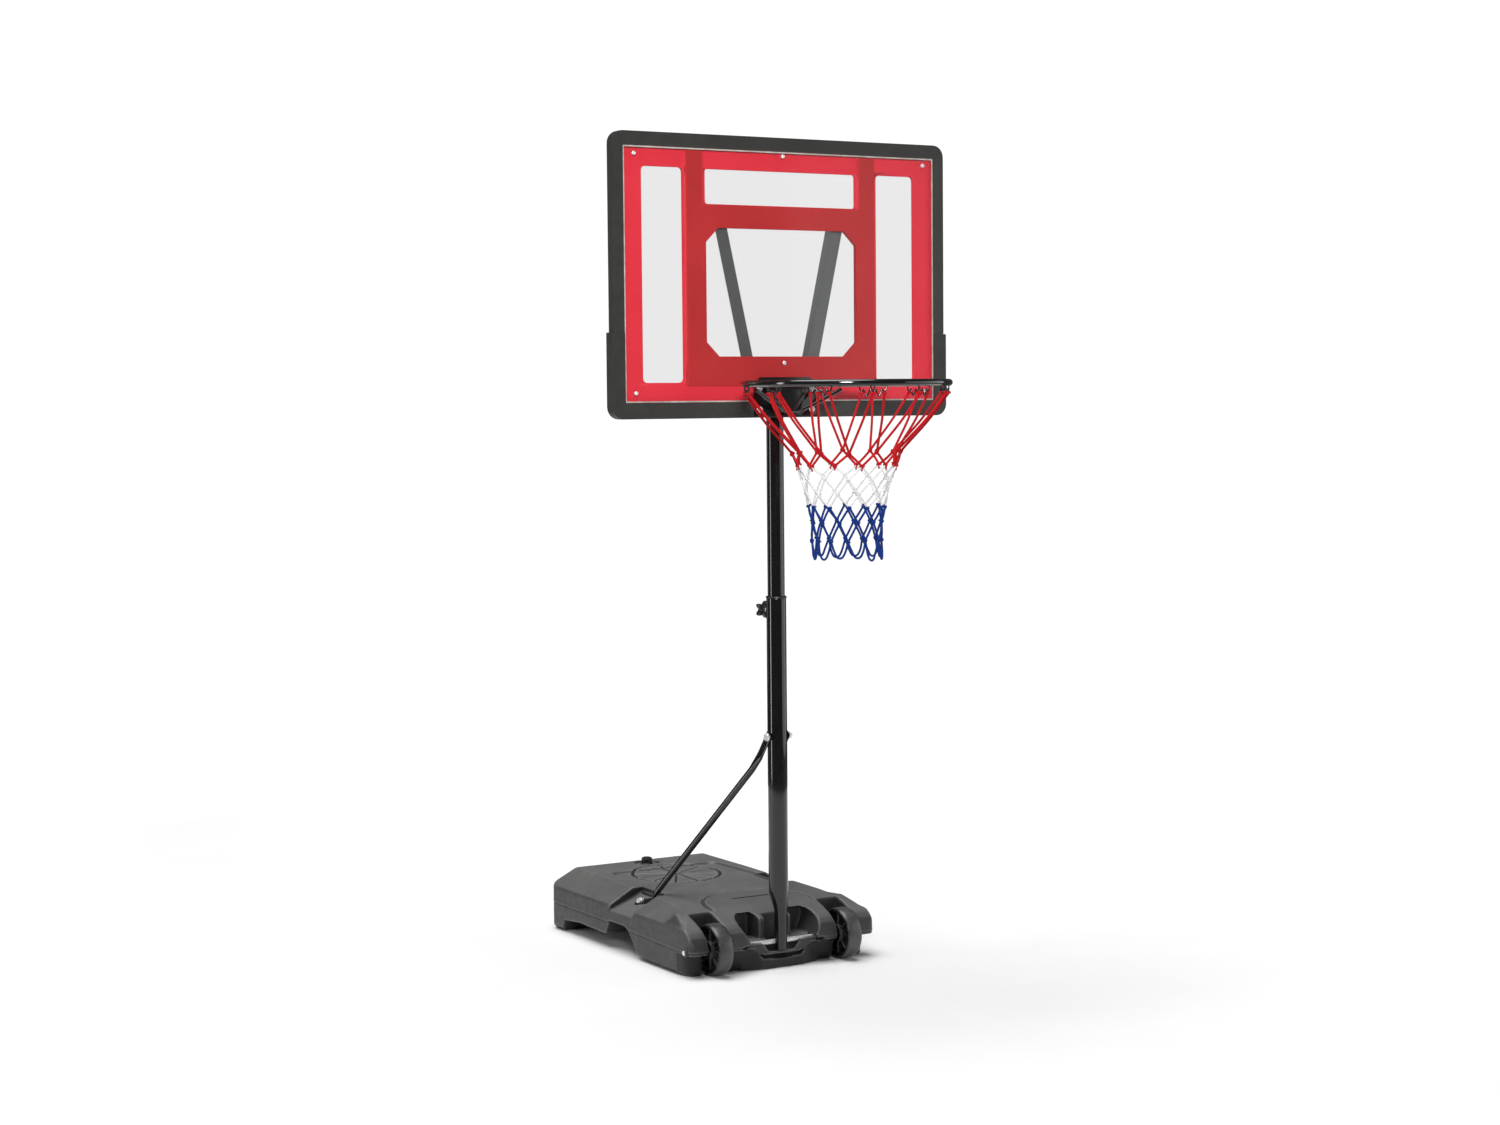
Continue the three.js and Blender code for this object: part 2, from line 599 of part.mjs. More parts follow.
for (const side of SIDES) {
  const angle = Math.atan2(STRUT_HIGH.x - STRUT_LOW.x, STRUT_HIGH.y - STRUT_LOW.y);
  const length = STRUT_LOW.distanceTo(STRUT_HIGH);
  const y = FRAME_BACK;
  const flangeX = side < 0 ? STRUT_FACE / 2 - STRUT_WALL : -STRUT_FACE / 2;
  const angleBar = join(
    block(-STRUT_FACE / 2, STRUT_FACE / 2, y, y + STRUT_WALL, 0, length),
    block(flangeX, flangeX + STRUT_WALL, y, y + STRUT_FLANGE, 106, length),
  );
  angleBar.rotateY(side * angle).translate(side * STRUT_LOW.x, 0, STRUT_LOW.y);
  const screwX = side * (STRUT_HIGH.x - 4);
  const screwZ = STRUT_HIGH.y - 16;
  add(`strut_${sideName(side)}`, cut(
    angleBar, ...rimBoltHoles(RIM_BOLT_R + GAP),
    bar(2.3, vec(screwX, y - 5, screwZ), vec(screwX, y + 5, screwZ), 12),
  ), grey_steel);
  add(`strut_screw_${sideName(side)}`, turned([
    [0, -8], [2, -8], [2, 0], [4.5, 0], [4.5, 1.5], [2, 3], [0, 3],
  ], 12), zinc, { position: vec(screwX, y + STRUT_WALL + GAP, screwZ), turn: backwards });
}

// ---------------------------------------------------------------- board

const SCREWS = [[-335, 1624], [0, 1630], [335, 1624], [-335, 1164], [0, 1222], [335, 1164]];
const SCREW_R = 2.5;
const screwHoles = () => SCREWS.map(([x, z]) => bar(SCREW_R + GAP, vec(x, -60, z), vec(x, 0, z), 12));

function panel(front, thickness) {
  return pushed(roundedRectangle(-PANEL_HALF, PANEL_HALF, PANEL_BOTTOM, PANEL_TOP, [16, 16, 16, 16]),
    'Y', front, front + thickness);
}

const panelHoles = () => [...screwHoles(), ...rimBoltHoles(RIM_BOLT_R + GAP)];
add('clear_panel', cut(panel(SHEET_FRONT, SHEET), ...panelHoles()), clear_plastic);

const windowTools = WINDOWS.map(([x0, x1, z0, z1, corner]) => (
  pushed(roundedRectangle(x0, x1, z0, z1, Array(4).fill(corner)), 'Y', -60, 0, corner > 20 ? 1 : 4)
));
const strutScrewHoles = SIDES.map((side) => {
  const x = side * (STRUT_HIGH.x - 4);
  const z = STRUT_HIGH.y - 16;
  return bar(2.3, vec(x, MOULDING_BACK - 8.5, z), vec(x, 0, z), 12);
});
add('board_moulding', cut(
  panel(MOULDING_FRONT, MOULDING), ...windowTools, ...panelHoles(), ...strutScrewHoles,
), red_plastic);

SCREWS.forEach(([x, z], i) => {
  const through = SHEET + MOULDING + 3 * GAP;
  add(`board_screw_${i + 1}`, turned([
    [0, -2.5], [3.5, -2.3], [4.5, -1], [7, -1], [7, 0], [SCREW_R, 0], [SCREW_R, through], [4.5, through],
    [4.5, through + 4], [0, through + 4],
  ], 16), zinc, { position: vec(x, SHEET_FRONT - GAP, z), turn: backwards });
});

// channel frame: half is its outer half-width, grow how far it stands proud front and back
function boardFrame(half, grow, low, high, radii) {
  const shell = pushed(roundedRectangle(-half, half, low, high, radii), 'Y',
    BOARD_FRONT - FRAME_LIP - grow, FRAME_BACK + FRAME_LIP + grow);
  const opening = block(-FRAME_OPEN_HALF, FRAME_OPEN_HALF, -80, 20,
    Math.max(low - 10, FRAME_OPEN_BOTTOM), Math.min(high + 10, FRAME_OPEN_TOP));
  const bottom = Math.max(low - 10, PANEL_BOTTOM - GAP);
  const reach = PANEL_HALF + GAP;
  const channel = block(-reach, reach, BOARD_FRONT, FRAME_BACK, bottom, PANEL_TOP + GAP);
  return [shell, opening, channel];
}

add('frame_upper', cut(...boardFrame(UPPER_FRAME_HALF, 0, FRAME_SPLIT_Z + GAP, BOARD_TOP,
  [0, 0, FRAME_CORNER_R, FRAME_CORNER_R])), frame_plastic);
add('frame_lower', cut(...boardFrame(LOWER_FRAME_HALF, 1.5, BOARD_BOTTOM, FRAME_SPLIT_Z,
  [FRAME_CORNER_R, FRAME_CORNER_R, 0, 0]), block(-80, 80, FRAME_BACK - 1, 20, 1100, 1150),
  block(-74, 74, -80, BOARD_FRONT + 1, 1100, 1150)), frame_plastic);

// ---------------------------------------------------------------- rim

const PLATE_FRONT = BOARD_FRONT - RIM_PLATE;
const plateOutline = shapeOf([[-72, 1118], [72, 1118], [72, 1180], [58, 1194], [-58, 1194], [-72, 1180]]);
add('rim_back_plate', cut(
  pushed(plateOutline, 'Y', PLATE_FRONT, BOARD_FRONT), ...rimBoltHoles(RIM_BOLT_R + GAP),
), black_steel);

// channel pressed from plate: wide at the board, narrower at its front and towards the bottom
function rimBracket() {
  const topZ = RIM_Z - RIM_WIRE - GAP;
  const plan = shapeOf([
    [-49, PLATE_FRONT - GAP], [-36, PLATE_FRONT - BRACKET_DEPTH], [36, PLATE_FRONT - BRACKET_DEPTH],
    [49, PLATE_FRONT - GAP],
  ]);
  const front = shapeOf([[-27, 1124], [27, 1124], [50, topZ], [-50, topZ]]);
  const shell = common(pushed(plan, 'Z', 1120, topZ + 5), pushed(front, 'Y', PLATE_FRONT - 60, 0));
  const inner = shapeOf([[-42, PLATE_FRONT + 5], [-32, PLATE_FRONT - BRACKET_DEPTH + 3],
    [32, PLATE_FRONT - BRACKET_DEPTH + 3], [42, PLATE_FRONT + 5]]);
  const innerFront = shapeOf([[-20, 1100], [22, 1100], [44, topZ - 3], [-44, topZ - 3]]);
  const hollow = common(pushed(inner, 'Z', 1100, topZ - 3), pushed(innerFront, 'Y', PLATE_FRONT - 60, 20));
  return cut(shell, hollow);
}
add('rim_bracket', rimBracket(), black_steel);

add('rim_ring', new THREE.TorusGeometry(RIM_R, RIM_WIRE, 10, 48), black_steel, {
  position: vec(0, RIM_Y, RIM_Z),
});

for (const side of SIDES) {
  const low = vec(side * 22, PLATE_FRONT - BRACKET_DEPTH - ROD_R - GAP, 1130);
  const underRing = RIM_Z - RIM_WIRE - ROD_R - GAP;
  const high = vec(side * RIM_R * Math.sin(ROD_ANGLE), RIM_Y + RIM_R * Math.cos(ROD_ANGLE), underRing);
  add(`rim_rod_${sideName(side)}`, bar(ROD_R, low, high, 12), black_steel);
}

let rimBoltCount = 0;
for (const side of SIDES) {
  for (const z of RIM_BOLT_Z) {
    rimBoltCount += 1;
    const reach = BRACKET_PLATE_Y + 3 + GAP - (PLATE_FRONT - GAP);
    add(`rim_bolt_${rimBoltCount}`, hexBolt(RIM_BOLT_R, reach + 4, 5.5, reach), zinc, {
      position: vec(side * RIM_BOLT_X, PLATE_FRONT - GAP, z), turn: backwards,
    });
  }
}

// ---------------------------------------------------------------- net and its hooks

class HookCurve extends THREE.Curve {
  getPoint(t, target = vec(0, 0, 0)) {
    const angle = Math.PI * t;
    return target.set(HOOK_HALF * Math.cos(angle), 0, -HOOK_DROP * Math.sin(angle));
  }
}
const wireSection = new THREE.Shape();
wireSection.absarc(0, 0, HOOK_WIRE, 0, Math.PI * 2, false);
const hookGeometry = new THREE.ExtrudeGeometry(wireSection, {
  steps: 8, bevelEnabled: false, curveSegments: 3, extrudePath: new HookCurve(),
});
for (let i = 0; i < HOOKS; i += 1) {
  const angle = (2 * Math.PI * (i + 0.5)) / HOOKS;
  add(`net_hook_${String(i + 1).padStart(2, '0')}`, hookGeometry, black_steel, {
    position: vec(RIM_R * Math.sin(angle), RIM_Y - RIM_R * Math.cos(angle), RIM_Z - RIM_WIRE - GAP - 0.2),
    turn: new THREE.Quaternion().setFromAxisAngle(vec(0, 0, 1), angle),
  });
}

const netOuter = NET_PROFILE.map(([r, z]) => [r, z]);
const netInner = NET_PROFILE.map(([r, z]) => [r - NET_WALL, z]).reverse();
const netWall = [...netOuter, ...netInner, netOuter[0]].reverse();
add('net', turned(netWall, 24), net_cord, { position: vec(0, RIM_Y, 0) });

// ---------------------------------------------------------------- row frame

const hoopFront = RIM_Y - RIM_R - RIM_WIRE;
hoop.position.y = -(BASE_BACK + hoopFront) / 2;

const row = new THREE.Group();
row.add(hoop);

export default row;
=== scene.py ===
"""Portable basketball hoop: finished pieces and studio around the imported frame.

Pieces are shaped in millimetres in the hoop's own frame, whose Z axis is the pole's axis,
with the floor at Z = 0 and the rim towards -Y. `draw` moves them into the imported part's frame.
"""

import math
import random

import bmesh
import bpy
import numpy as np
from mathutils import Matrix, Vector
from mathutils.geometry import tessellate_polygon


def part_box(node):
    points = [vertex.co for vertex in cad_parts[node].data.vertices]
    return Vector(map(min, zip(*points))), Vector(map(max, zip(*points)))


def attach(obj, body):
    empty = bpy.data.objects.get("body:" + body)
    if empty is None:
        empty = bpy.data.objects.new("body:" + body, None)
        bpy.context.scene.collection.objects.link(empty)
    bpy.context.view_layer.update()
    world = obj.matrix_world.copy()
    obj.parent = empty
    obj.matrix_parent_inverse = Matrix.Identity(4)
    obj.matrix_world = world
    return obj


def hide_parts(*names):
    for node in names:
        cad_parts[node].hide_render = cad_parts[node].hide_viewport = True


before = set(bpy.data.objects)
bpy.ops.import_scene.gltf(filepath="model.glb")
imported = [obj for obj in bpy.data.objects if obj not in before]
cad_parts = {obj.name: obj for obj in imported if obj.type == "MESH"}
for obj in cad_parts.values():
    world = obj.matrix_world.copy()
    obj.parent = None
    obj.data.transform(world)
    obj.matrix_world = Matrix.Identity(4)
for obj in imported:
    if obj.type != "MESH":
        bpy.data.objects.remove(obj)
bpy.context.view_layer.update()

MM = 0.001
pole_low, pole_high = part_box("lower_pole")
AXIS_Y = (pole_low.y + pole_high.y) / 2
SIDES = ((-1, "left"), (1, "right"))
RIGHT, BACK, UP = (1, 0, 0), (0, 1, 0), (0, 0, 1)
SHARP = 32
random.seed(11)


def cad(node):
    """A CAD node's box in the hoop's frame, in millimetres: its low corner and its high corner."""
    low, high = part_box(node)
    shift = Vector((0, AXIS_Y, 0))
    return (low - shift) / MM, (high - shift) / MM


def middle(node):
    low, high = cad(node)
    return [(a + b) / 2 for a, b in zip(low, high)]


def half_size(node):
    low, high = cad(node)
    return [(b - a) / 2 for a, b in zip(low, high)]


def add_object(name, data):
    piece = bpy.data.objects.new(name, data)
    bpy.context.scene.collection.objects.link(piece)
    return piece


def mesh_from(bm, name):
    mesh = bpy.data.meshes.new(name)
    bm.to_mesh(mesh)
    bm.free()
    return mesh


# ---- mesh kit


def fillet(points, radii, steps=6):
    """A polygon with its corners rounded: radii is one number, or one for each corner."""
    count = len(points)
    if not hasattr(radii, "__len__"):
        radii = [radii] * count
    outline = []
    for i, (point, radius) in enumerate(zip(points, radii)):
        corner = Vector(point)
        back = Vector(points[i - 1]) - corner
        ahead = Vector(points[(i + 1) % count]) - corner
        if radius <= 0:
            outline.append(tuple(corner))
            continue
        half = back.angle(ahead) / 2
        reach = min(radius / math.tan(half), 0.49 * back.length, 0.49 * ahead.length)
        radius = reach * math.tan(half)
        back.normalize()
        ahead.normalize()
        centre = corner + (back + ahead).normalized() * (radius / math.sin(half))
        start = corner + back * reach - centre
        end = corner + ahead * reach - centre
        turn = start.angle_signed(end)
        for step in range(steps + 1):
            spoke = start.copy()
            spoke.rotate(Matrix.Rotation(-turn * step / steps, 2))
            outline.append(tuple(centre + spoke))
    return outline


def rectangle(x0, x1, y0, y1):
    return [(x0, y0), (x1, y0), (x1, y1), (x0, y1)]


PLANES = {
    "X": Matrix(((0, 0, 1), (1, 0, 0), (0, 1, 0))),
    "Y": Matrix(((1, 0, 0), (0, 0, -1), (0, 1, 0))),
    "Z": Matrix.Identity(3),
}


def prism(bm, loops, axis, low, high, bevel=0.0, segments=2, material=0):
    """Outline with holes, pushed from low to high along an axis, its rims rounded."""
    if axis == "Y":
        low, high = -high, -low
    turn = PLANES[axis]
    layers = []
    for level in (low, high):
        layers.append([[bm.verts.new(turn @ Vector((a, b, level))) for a, b in loop] for loop in loops])
    flat = [[Vector((a, b, 0)) for a, b in loop] for loop in loops]
    faces, rims = [], []
    for layer in layers:
        corners = [vert for loop in layer for vert in loop]
        for triangle in tessellate_polygon(flat):
            faces.append(bm.faces.new([corners[i] for i in triangle]))
    for bottom, top in zip(*layers):
        for i, vert in enumerate(bottom):
            faces.append(bm.faces.new((bottom[i - 1], vert, top[i], top[i - 1])))
            for ring in (bottom, top):
                rims.append(bm.edges.get((ring[i - 1], ring[i])))
    for face in faces:
        face.material_index = material
    bmesh.ops.recalc_face_normals(bm, faces=faces)
    if bevel:
        bmesh.ops.bevel(
            bm, geom=rims, offset=bevel, segments=segments, profile=0.5, affect="EDGES",
            clamp_overlap=True, material=material,
        )


def circle(radius, sides, squash=1.0):
    """Section points, each (across, along the normal)."""
    steps = [2 * math.pi * i / sides for i in range(sides)]
    return [(radius * math.cos(a), radius * squash * math.sin(a)) for a in steps]


def slot_section(half_width, half_thick, sides):
    """A flattened tube's section: a rectangle with round ends, with as many points as a circle."""
    points = []
    for i in range(sides):
        angle = 2 * math.pi * i / sides
        c, s = math.cos(angle), math.sin(angle)
        across = half_width * math.copysign(abs(c) ** 0.6, c)
        points.append((across, half_thick * math.copysign(abs(s) ** 0.5, s)))
    return points


def sweep(bm, path, sections, closed=False, normals=None, material=0):
    """Tube along a path. sections is one section, or one for each point of the path."""
    path = [Vector(p) for p in path]
    count = len(path)
    if isinstance(sections[0], tuple):
        sections = [sections] * count
    uv = bm.loops.layers.uv.verify()
    normal, rings, lengths = None, [], [0.0]
    for i, point in enumerate(path):
        ahead = path[(i + 1) % count] if closed or i < count - 1 else point
        behind = path[i - 1] if closed or i > 0 else point
        tangent = (ahead - behind).normalized()
        if normals:
            normal = Vector(normals[i])
        elif normal is None:
            normal = Vector(UP if abs(tangent.z) < 0.9 else RIGHT)
        normal = (normal - tangent * normal.dot(tangent)).normalized()
        across = tangent.cross(normal)
        rings.append([bm.verts.new(point + across * a + normal * b) for a, b in sections[i]])
        if i:
            lengths.append(lengths[-1] + (point - path[i - 1]).length)
    if closed:
        rings.append(rings[0])
        lengths.append(lengths[-1] + (path[0] - path[-1]).length)
    sides = len(rings[0])
    for lower, upper, v0, v1 in zip(rings, rings[1:], lengths, lengths[1:]):
        for j in range(sides):
            k = (j + 1) % sides
            face = bm.faces.new((lower[j], lower[k], upper[k], upper[j]))
            face.material_index = material
            spots = ((j / sides, v0), ((j + 1) / sides, v0), ((j + 1) / sides, v1), (j / sides, v1))
            for loop, spot in zip(face.loops, spots):
                loop[uv].uv = spot
    if not closed:
        for ring in (rings[0][::-1], rings[-1]):
            bm.faces.new(ring).material_index = material


def revolve(bm, profile, centre=(0, 0, 0), axis=UP, sides=64, wave=None):
    """Profile of (radius, height) points turned about an axis. It starts and ends on the axis, or closes.

    wave(angle, radius) gives a radius that changes round the piece."""
    turn = Vector(UP).rotation_difference(Vector(axis)).to_matrix()
    centre = Vector(centre)
    rings = []
    for radius, height in profile:
        if radius == 0:
            rings.append([bm.verts.new(centre + turn @ Vector((0, 0, height)))] * sides)
            continue
        ring = []
        for j in range(sides):
            angle = 2 * math.pi * j / sides
            reach = wave(angle, radius) if wave else radius
            spoke = Vector((reach * math.cos(angle), reach * math.sin(angle), height))
            ring.append(bm.verts.new(centre + turn @ spoke))
        rings.append(ring)
    if profile[0][0] != 0:
        rings.append(rings[0])
    for lower, upper in zip(rings, rings[1:]):
        for j in range(sides):
            k = (j + 1) % sides
            corners = list(dict.fromkeys((lower[j], lower[k], upper[k], upper[j])))
            if len(corners) > 2:
                bm.faces.new(corners)


def barrel(radius, low, high, trim, inset):
    """Profile of a solid of revolution whose two rims are turned down."""
    side = [(radius - inset, low), (radius, low + trim), (radius, high - trim), (radius - inset, high)]
    return [(0, low), *side, (0, high)]


def hexagon(bm, radius, low, high, centre, axis):
    """Hexagonal head or nut with its corners turned down."""
    profile = barrel(radius, low, high, 0.6, radius * 0.1)

    def wave(angle, reach):
        step = math.pi / 3
        return reach * math.cos(step / 2) / math.cos(angle % step - step / 2)

    revolve(bm, profile, centre, axis, sides=36, wave=wave)


def draw(build, name):
    """The mesh that build(bm) draws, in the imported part's frame."""
    bm = bmesh.new()
    build(bm)
    bmesh.ops.remove_doubles(bm, verts=bm.verts, dist=0.002)
    bmesh.ops.recalc_face_normals(bm, faces=bm.faces)
    bm.transform(Matrix.Translation((0, AXIS_Y, 0)) @ Matrix.Diagonal((MM, MM, MM, 1)))
    return mesh_from(bm, name)


def settle(piece, body, node, sharp=SHARP):
    """Finish a piece, which rides on its body in its CAD node's stead."""
    finish(piece, sharp)
    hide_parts(node)
    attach(piece, body)
    return piece


def make(name, build, body, slot, node, materials=None):
    """One piece: build(bm) draws it, and it gets its slot's materials, or its own."""
    mesh = draw(build, name)
    for material in materials or LOOKS[slot]:
        mesh.materials.append(material)
    return settle(add_object(name, mesh), body, node)


# ---- materials


def rgba(color):
    """A colour's three parts, or one grey number, as Blender's four. A node's output stays as it is."""
    if hasattr(color, "is_output"):
        return color
    return (*color, 1) if isinstance(color, tuple) else (color, color, color, 1)


class Look:
    """A node material with a few short ways to add nodes."""

    def __init__(self, name, color, roughness, metallic=0.0, **sockets):
        self.material = bpy.data.materials.new(name)
        self.material.use_nodes = True
        self.nodes = self.material.node_tree.nodes
        self.links = self.material.node_tree.links
        self.shader = self.nodes["Principled BSDF"]
        self.shader.inputs["Base Color"].default_value = rgba(color)
        self.shader.inputs["Roughness"].default_value = roughness
        self.shader.inputs["Metallic"].default_value = metallic
        for socket, value in sockets.items():
            self.shader.inputs[socket.replace("_", " ")].default_value = value
        self.position = self.nodes.new("ShaderNodeTexCoord").outputs["Object"]

    def feed(self, socket, value):
        """Link a node's output to the socket, or set the socket's own value."""
        if hasattr(value, "is_output"):
            self.links.new(value, socket)
        else:
            socket.default_value = value

    def node(self, kind, **values):
        """A new node: each value goes to its property of that name, or to its input."""
        node = self.nodes.new(kind)
        for key, value in values.items():
            if key in node.bl_rna.properties:
                setattr(node, key, value)
            else:
                self.feed(node.inputs[key.replace("_", " ")], value)
        return node

    def math(self, operation, a, b=0.0, clamp=False):
        node = self.node("ShaderNodeMath", operation=operation, use_clamp=clamp)
        self.feed(node.inputs[0], a)
        self.feed(node.inputs[1], b)
        return node.outputs[0]

    def times(self, a, b):
        return self.math("MULTIPLY", a, b)

    def gap(self, a, b):
        return self.math("ABSOLUTE", self.math("SUBTRACT", a, b))

    def largest(self, first, *others):
        for other in others:
            first = self.math("MAXIMUM", first, other)
        return first

    def split(self, vector):
        node = self.node("ShaderNodeSeparateXYZ", Vector=vector)
        return [node.outputs[axis] for axis in "XYZ"]

    def noise(self, scale, detail, roughness=0.5):
        inputs = {"Vector": self.position, "Scale": scale, "Detail": detail, "Roughness": roughness}
        return self.node("ShaderNodeTexNoise", **inputs).outputs["Fac"]

    def patches(self, scale, detail, low=0, high=1, roughness=0.5):
        """Noise stretched to run from low to high."""
        return self.spread(self.noise(scale, detail, roughness), low, high)

    def mottle(self, scale, detail, first, second):
        return self.mix(self.patches(scale, detail), first, second)

    def spread(self, value, low, high, start=0.3, end=0.7, smooth=False):
        """Value between start and end becomes low to high."""
        node = self.node("ShaderNodeMapRange", Value=value, From_Min=start, From_Max=end)
        node.interpolation_type = "SMOOTHSTEP" if smooth else "LINEAR"
        self.feed(node.inputs["To Min"], low)
        self.feed(node.inputs["To Max"], high)
        return node.outputs["Result"]

    def mix(self, factor, first, second):
        node = self.node("ShaderNodeMix", data_type="RGBA", Factor=factor)
        self.feed(node.inputs[6], rgba(first))
        self.feed(node.inputs[7], rgba(second))
        return node.outputs[2]

    def color(self, value):
        self.feed(self.shader.inputs["Base Color"], value)

    def bump(self, height, depth):
        """Height from 0 to 1 stands up by depth in metres; bumps add up."""
        node = self.node("ShaderNodeBump", Strength=1.0, Distance=depth, Height=height)
        socket = self.shader.inputs["Normal"]
        if socket.links:
            self.feed(node.inputs["Normal"], socket.links[0].from_socket)
        self.feed(socket, node.outputs["Normal"])

    def surface(self, gloss, *grains):
        """The finished material, with patches of gloss and bumps of noise: each ends with its depth."""
        self.feed(self.shader.inputs["Roughness"], self.patches(*gloss))
        for *grain, depth in grains:
            self.bump(self.noise(*grain), depth)
        return self.material


def enamel(name, color, roughness):
    """Gloss enamel on steel: orange peel, with faint dust in the gloss."""
    look = Look(name, color, roughness, Specular_IOR_Level=0.12, Coat_Weight=1.0, Coat_Roughness=0.05)
    gloss = (35, 5, roughness - 0.05, roughness + 0.1)
    return look.surface(gloss, (420, 2, 0.00002), (1900, 1, 0.000006))


def moulded(name, color, lighter, roughness, grain, depth):
    """Moulded plastic: fine grain and mottled tone, with a painted highlight that lightens its convex edges.
    """
    look = Look(name, color, roughness, Specular_IOR_Level=0.45)
    cloud = look.patches(14, 5, 0, 0.5, 0.6)
    # painted highlight: convex edges, found by their pointiness, are mixed towards the lighter colour
    edge = look.spread(look.node("ShaderNodeNewGeometry").outputs["Pointiness"], 0, 0.5, 0.505, 0.56)
    look.color(look.mix(look.math("ADD", cloud, edge, clamp=True), color, lighter))
    return look.surface((60, 4, roughness - 0.07, roughness + 0.1), (grain, 3, 0.6, depth))


def tank_plastic():
    """Moulded tank, with painted light and shade: lighter on top and darker down its walls as if lit from
    above, painted shade under the lip, in the pole's slot, in the grooves and in creases, and a painted
    highlight on its edges.
    """
    look = Look("tank_plastic", 0.09, 0.46, Specular_IOR_Level=0.4)
    geometry = look.node("ShaderNodeNewGeometry")
    up = look.split(geometry.outputs["Normal"])[2]
    cloud = look.patches(12, 5, roughness=0.6)
    # painted light and shade: faces turned up get the lighter tone and the walls the darker one, as if lit
    # from above
    top = look.mix(cloud, (0.098, 0.098, 0.097), (0.128, 0.128, 0.126))
    wall = look.mix(cloud, (0.03, 0.03, 0.03), (0.042, 0.042, 0.041))
    tone = look.mix(look.spread(up, 0, 1, 0.6, 0.97, smooth=True), wall, top)
    across, along, height = look.split(look.position)
    x = look.math("ABSOLUTE", across)
    y = look.math("SUBTRACT", along, AXIS_Y)
    # painted shade: below the lip's lower edge, near the front, the tank is darkened almost to black
    lip_edge = look.spread(x, LIP_MIDDLE_Z, LIP_SIDE_Z, LIP_MIDDLE_X, LIP_SIDE_X)
    below = look.spread(look.math("SUBTRACT", height, lip_edge), 1, 0, -2 * MM, 2 * MM)
    front = look.spread(y, 1, 0, 5 * MM, 50 * MM, smooth=True)
    tone = look.mix(look.times(below, front), tone, 0.01)
    # painted shade: the inside of the pole's slot, just behind the pole, is painted near black
    beside = look.spread(x, 1, 0, 24 * MM, 26 * MM)
    inside = look.spread(y, 0, 1, 0, 10 * MM)
    slot = look.times(look.times(beside, inside), look.spread(y, 1, 0, 30 * MM, 33 * MM))
    tone = look.mix(slot, tone, 0.004)
    # painted shade in the deck's grooves
    tone = look.mix(groove_shade_mask(look, across, y), tone, 0.025)
    crease = geometry.outputs["Pointiness"]
    # painted shade: concave creases are darkened
    tone = look.mix(look.spread(crease, 0.75, 0, 0.44, 0.492), tone, 0.02)
    # painted highlight: convex edges are lightened
    look.color(look.mix(look.spread(crease, 0, 0.6, 0.508, 0.55), tone, (0.19, 0.19, 0.188)))
    return look.surface((60, 4, 0.4, 0.56), (700, 3, 0.6, 0.00012))


def groove_shade_mask(look, x, y):
    """1 where shade is painted into the deck's grooves: the fan's ring and spokes, the filler's recess and
    the panel's edge.
    """

    def polar(centre):
        away = look.math("SUBTRACT", y, centre * MM)
        return away, look.math("SQRT", look.math("ADD", look.times(x, x), look.times(away, away)))

    def line(distance, depth, core, edge):
        return look.spread(distance, depth, 0, core * MM, edge * MM)

    away, radius = polar(FAN.y)
    ring = line(look.gap(radius, FAN_R * MM), 1, 1.5, 4.5)
    turns = look.times(look.math("ARCTAN2", away, x), FAN_SPOKES / (2 * math.pi))
    off = look.gap(turns, look.math("ROUND", turns))
    across = look.times(look.times(off, radius), 2 * math.pi / FAN_SPOKES)
    spoke = look.times(line(across, 1, 0.8, 2.4), line(radius, 1, FAN_R - 1, FAN_R + 1))
    recess = line(look.gap(polar(FILLER_Y)[1], FILLER_R * MM), 0.8, 1, 3)
    (back_y, back_half), (front_y, front_half) = PANEL_BACK, PANEL_FRONT
    half = look.spread(y, front_half * MM, back_half * MM, front_y * MM, back_y * MM)
    outside = look.math("SUBTRACT", look.math("ABSOLUTE", x), half)
    beyond = look.math("SUBTRACT", look.gap(y, PANEL_MIDDLE * MM), PANEL_REACH * MM)
    panel = line(look.math("ABSOLUTE", look.largest(outside, beyond)), 0.3, 1.5, 4)
    return look.largest(look.largest(ring, look.times(spoke, 0.9)), look.largest(recess, panel))


def wheel_plastic():
    """Blow-moulded wheel, with painted light and shade: the tread is painted paler, as if lit, and the sides
    near black, as if in shade.
    """
    look = Look("wheel_plastic", 0.05, 0.3)
    sideways = look.math("ABSOLUTE", look.split(look.node("ShaderNodeNewGeometry").outputs["Normal"])[0])
    cloud = look.patches(40, 4)
    # painted light and shade: faces turned sideways get the near-black flank tone, the rest the paler tread
    # tone
    tread = look.mix(cloud, 0.045, 0.08)
    shaded_flank = look.mix(cloud, 0.003, 0.006)
    look.color(look.mix(look.spread(sideways, 0, 1, 0.3, 0.6), tread, shaded_flank))
    return look.surface((90, 3, 0.24, 0.4), (1200, 2, 0.00004))


def plated(name):
    """Bright zinc plate with fine brushing and dull patches."""
    look = Look(name, (0.62, 0.63, 0.65), 0.28, metallic=0.55)
    look.color(look.mottle(220, 4, (0.66, 0.67, 0.68), (0.86, 0.86, 0.87)))
    return look.surface((700, 2, 0.2, 0.42), (1500, 2, 0.00003))


def cord_look(name, color, darker):
    """Braided cord: two helical sets of strands cross each other round the tube."""
    look = Look(name, color, 0.75, Specular_IOR_Level=0.15, Sheen_Weight=0.03)
    around_cord, along = look.split(look.node("ShaderNodeTexCoord").outputs["UV"])[:2]
    waves = []
    for lean in (-STRAND_LEAN, STRAND_LEAN):
        phase = look.math("ADD", look.times(around_cord, STRANDS * 2 * math.pi), look.times(along, lean))
        waves.append(look.math("SINE", phase))
    weave = look.largest(*waves)
    look.color(look.mix(look.spread(weave, 0, 1, -0.2, 0.8), darker, color))
    look.bump(weave, 0.0004)
    look.bump(look.noise(2600, 2), 0.00015)
    return look.material


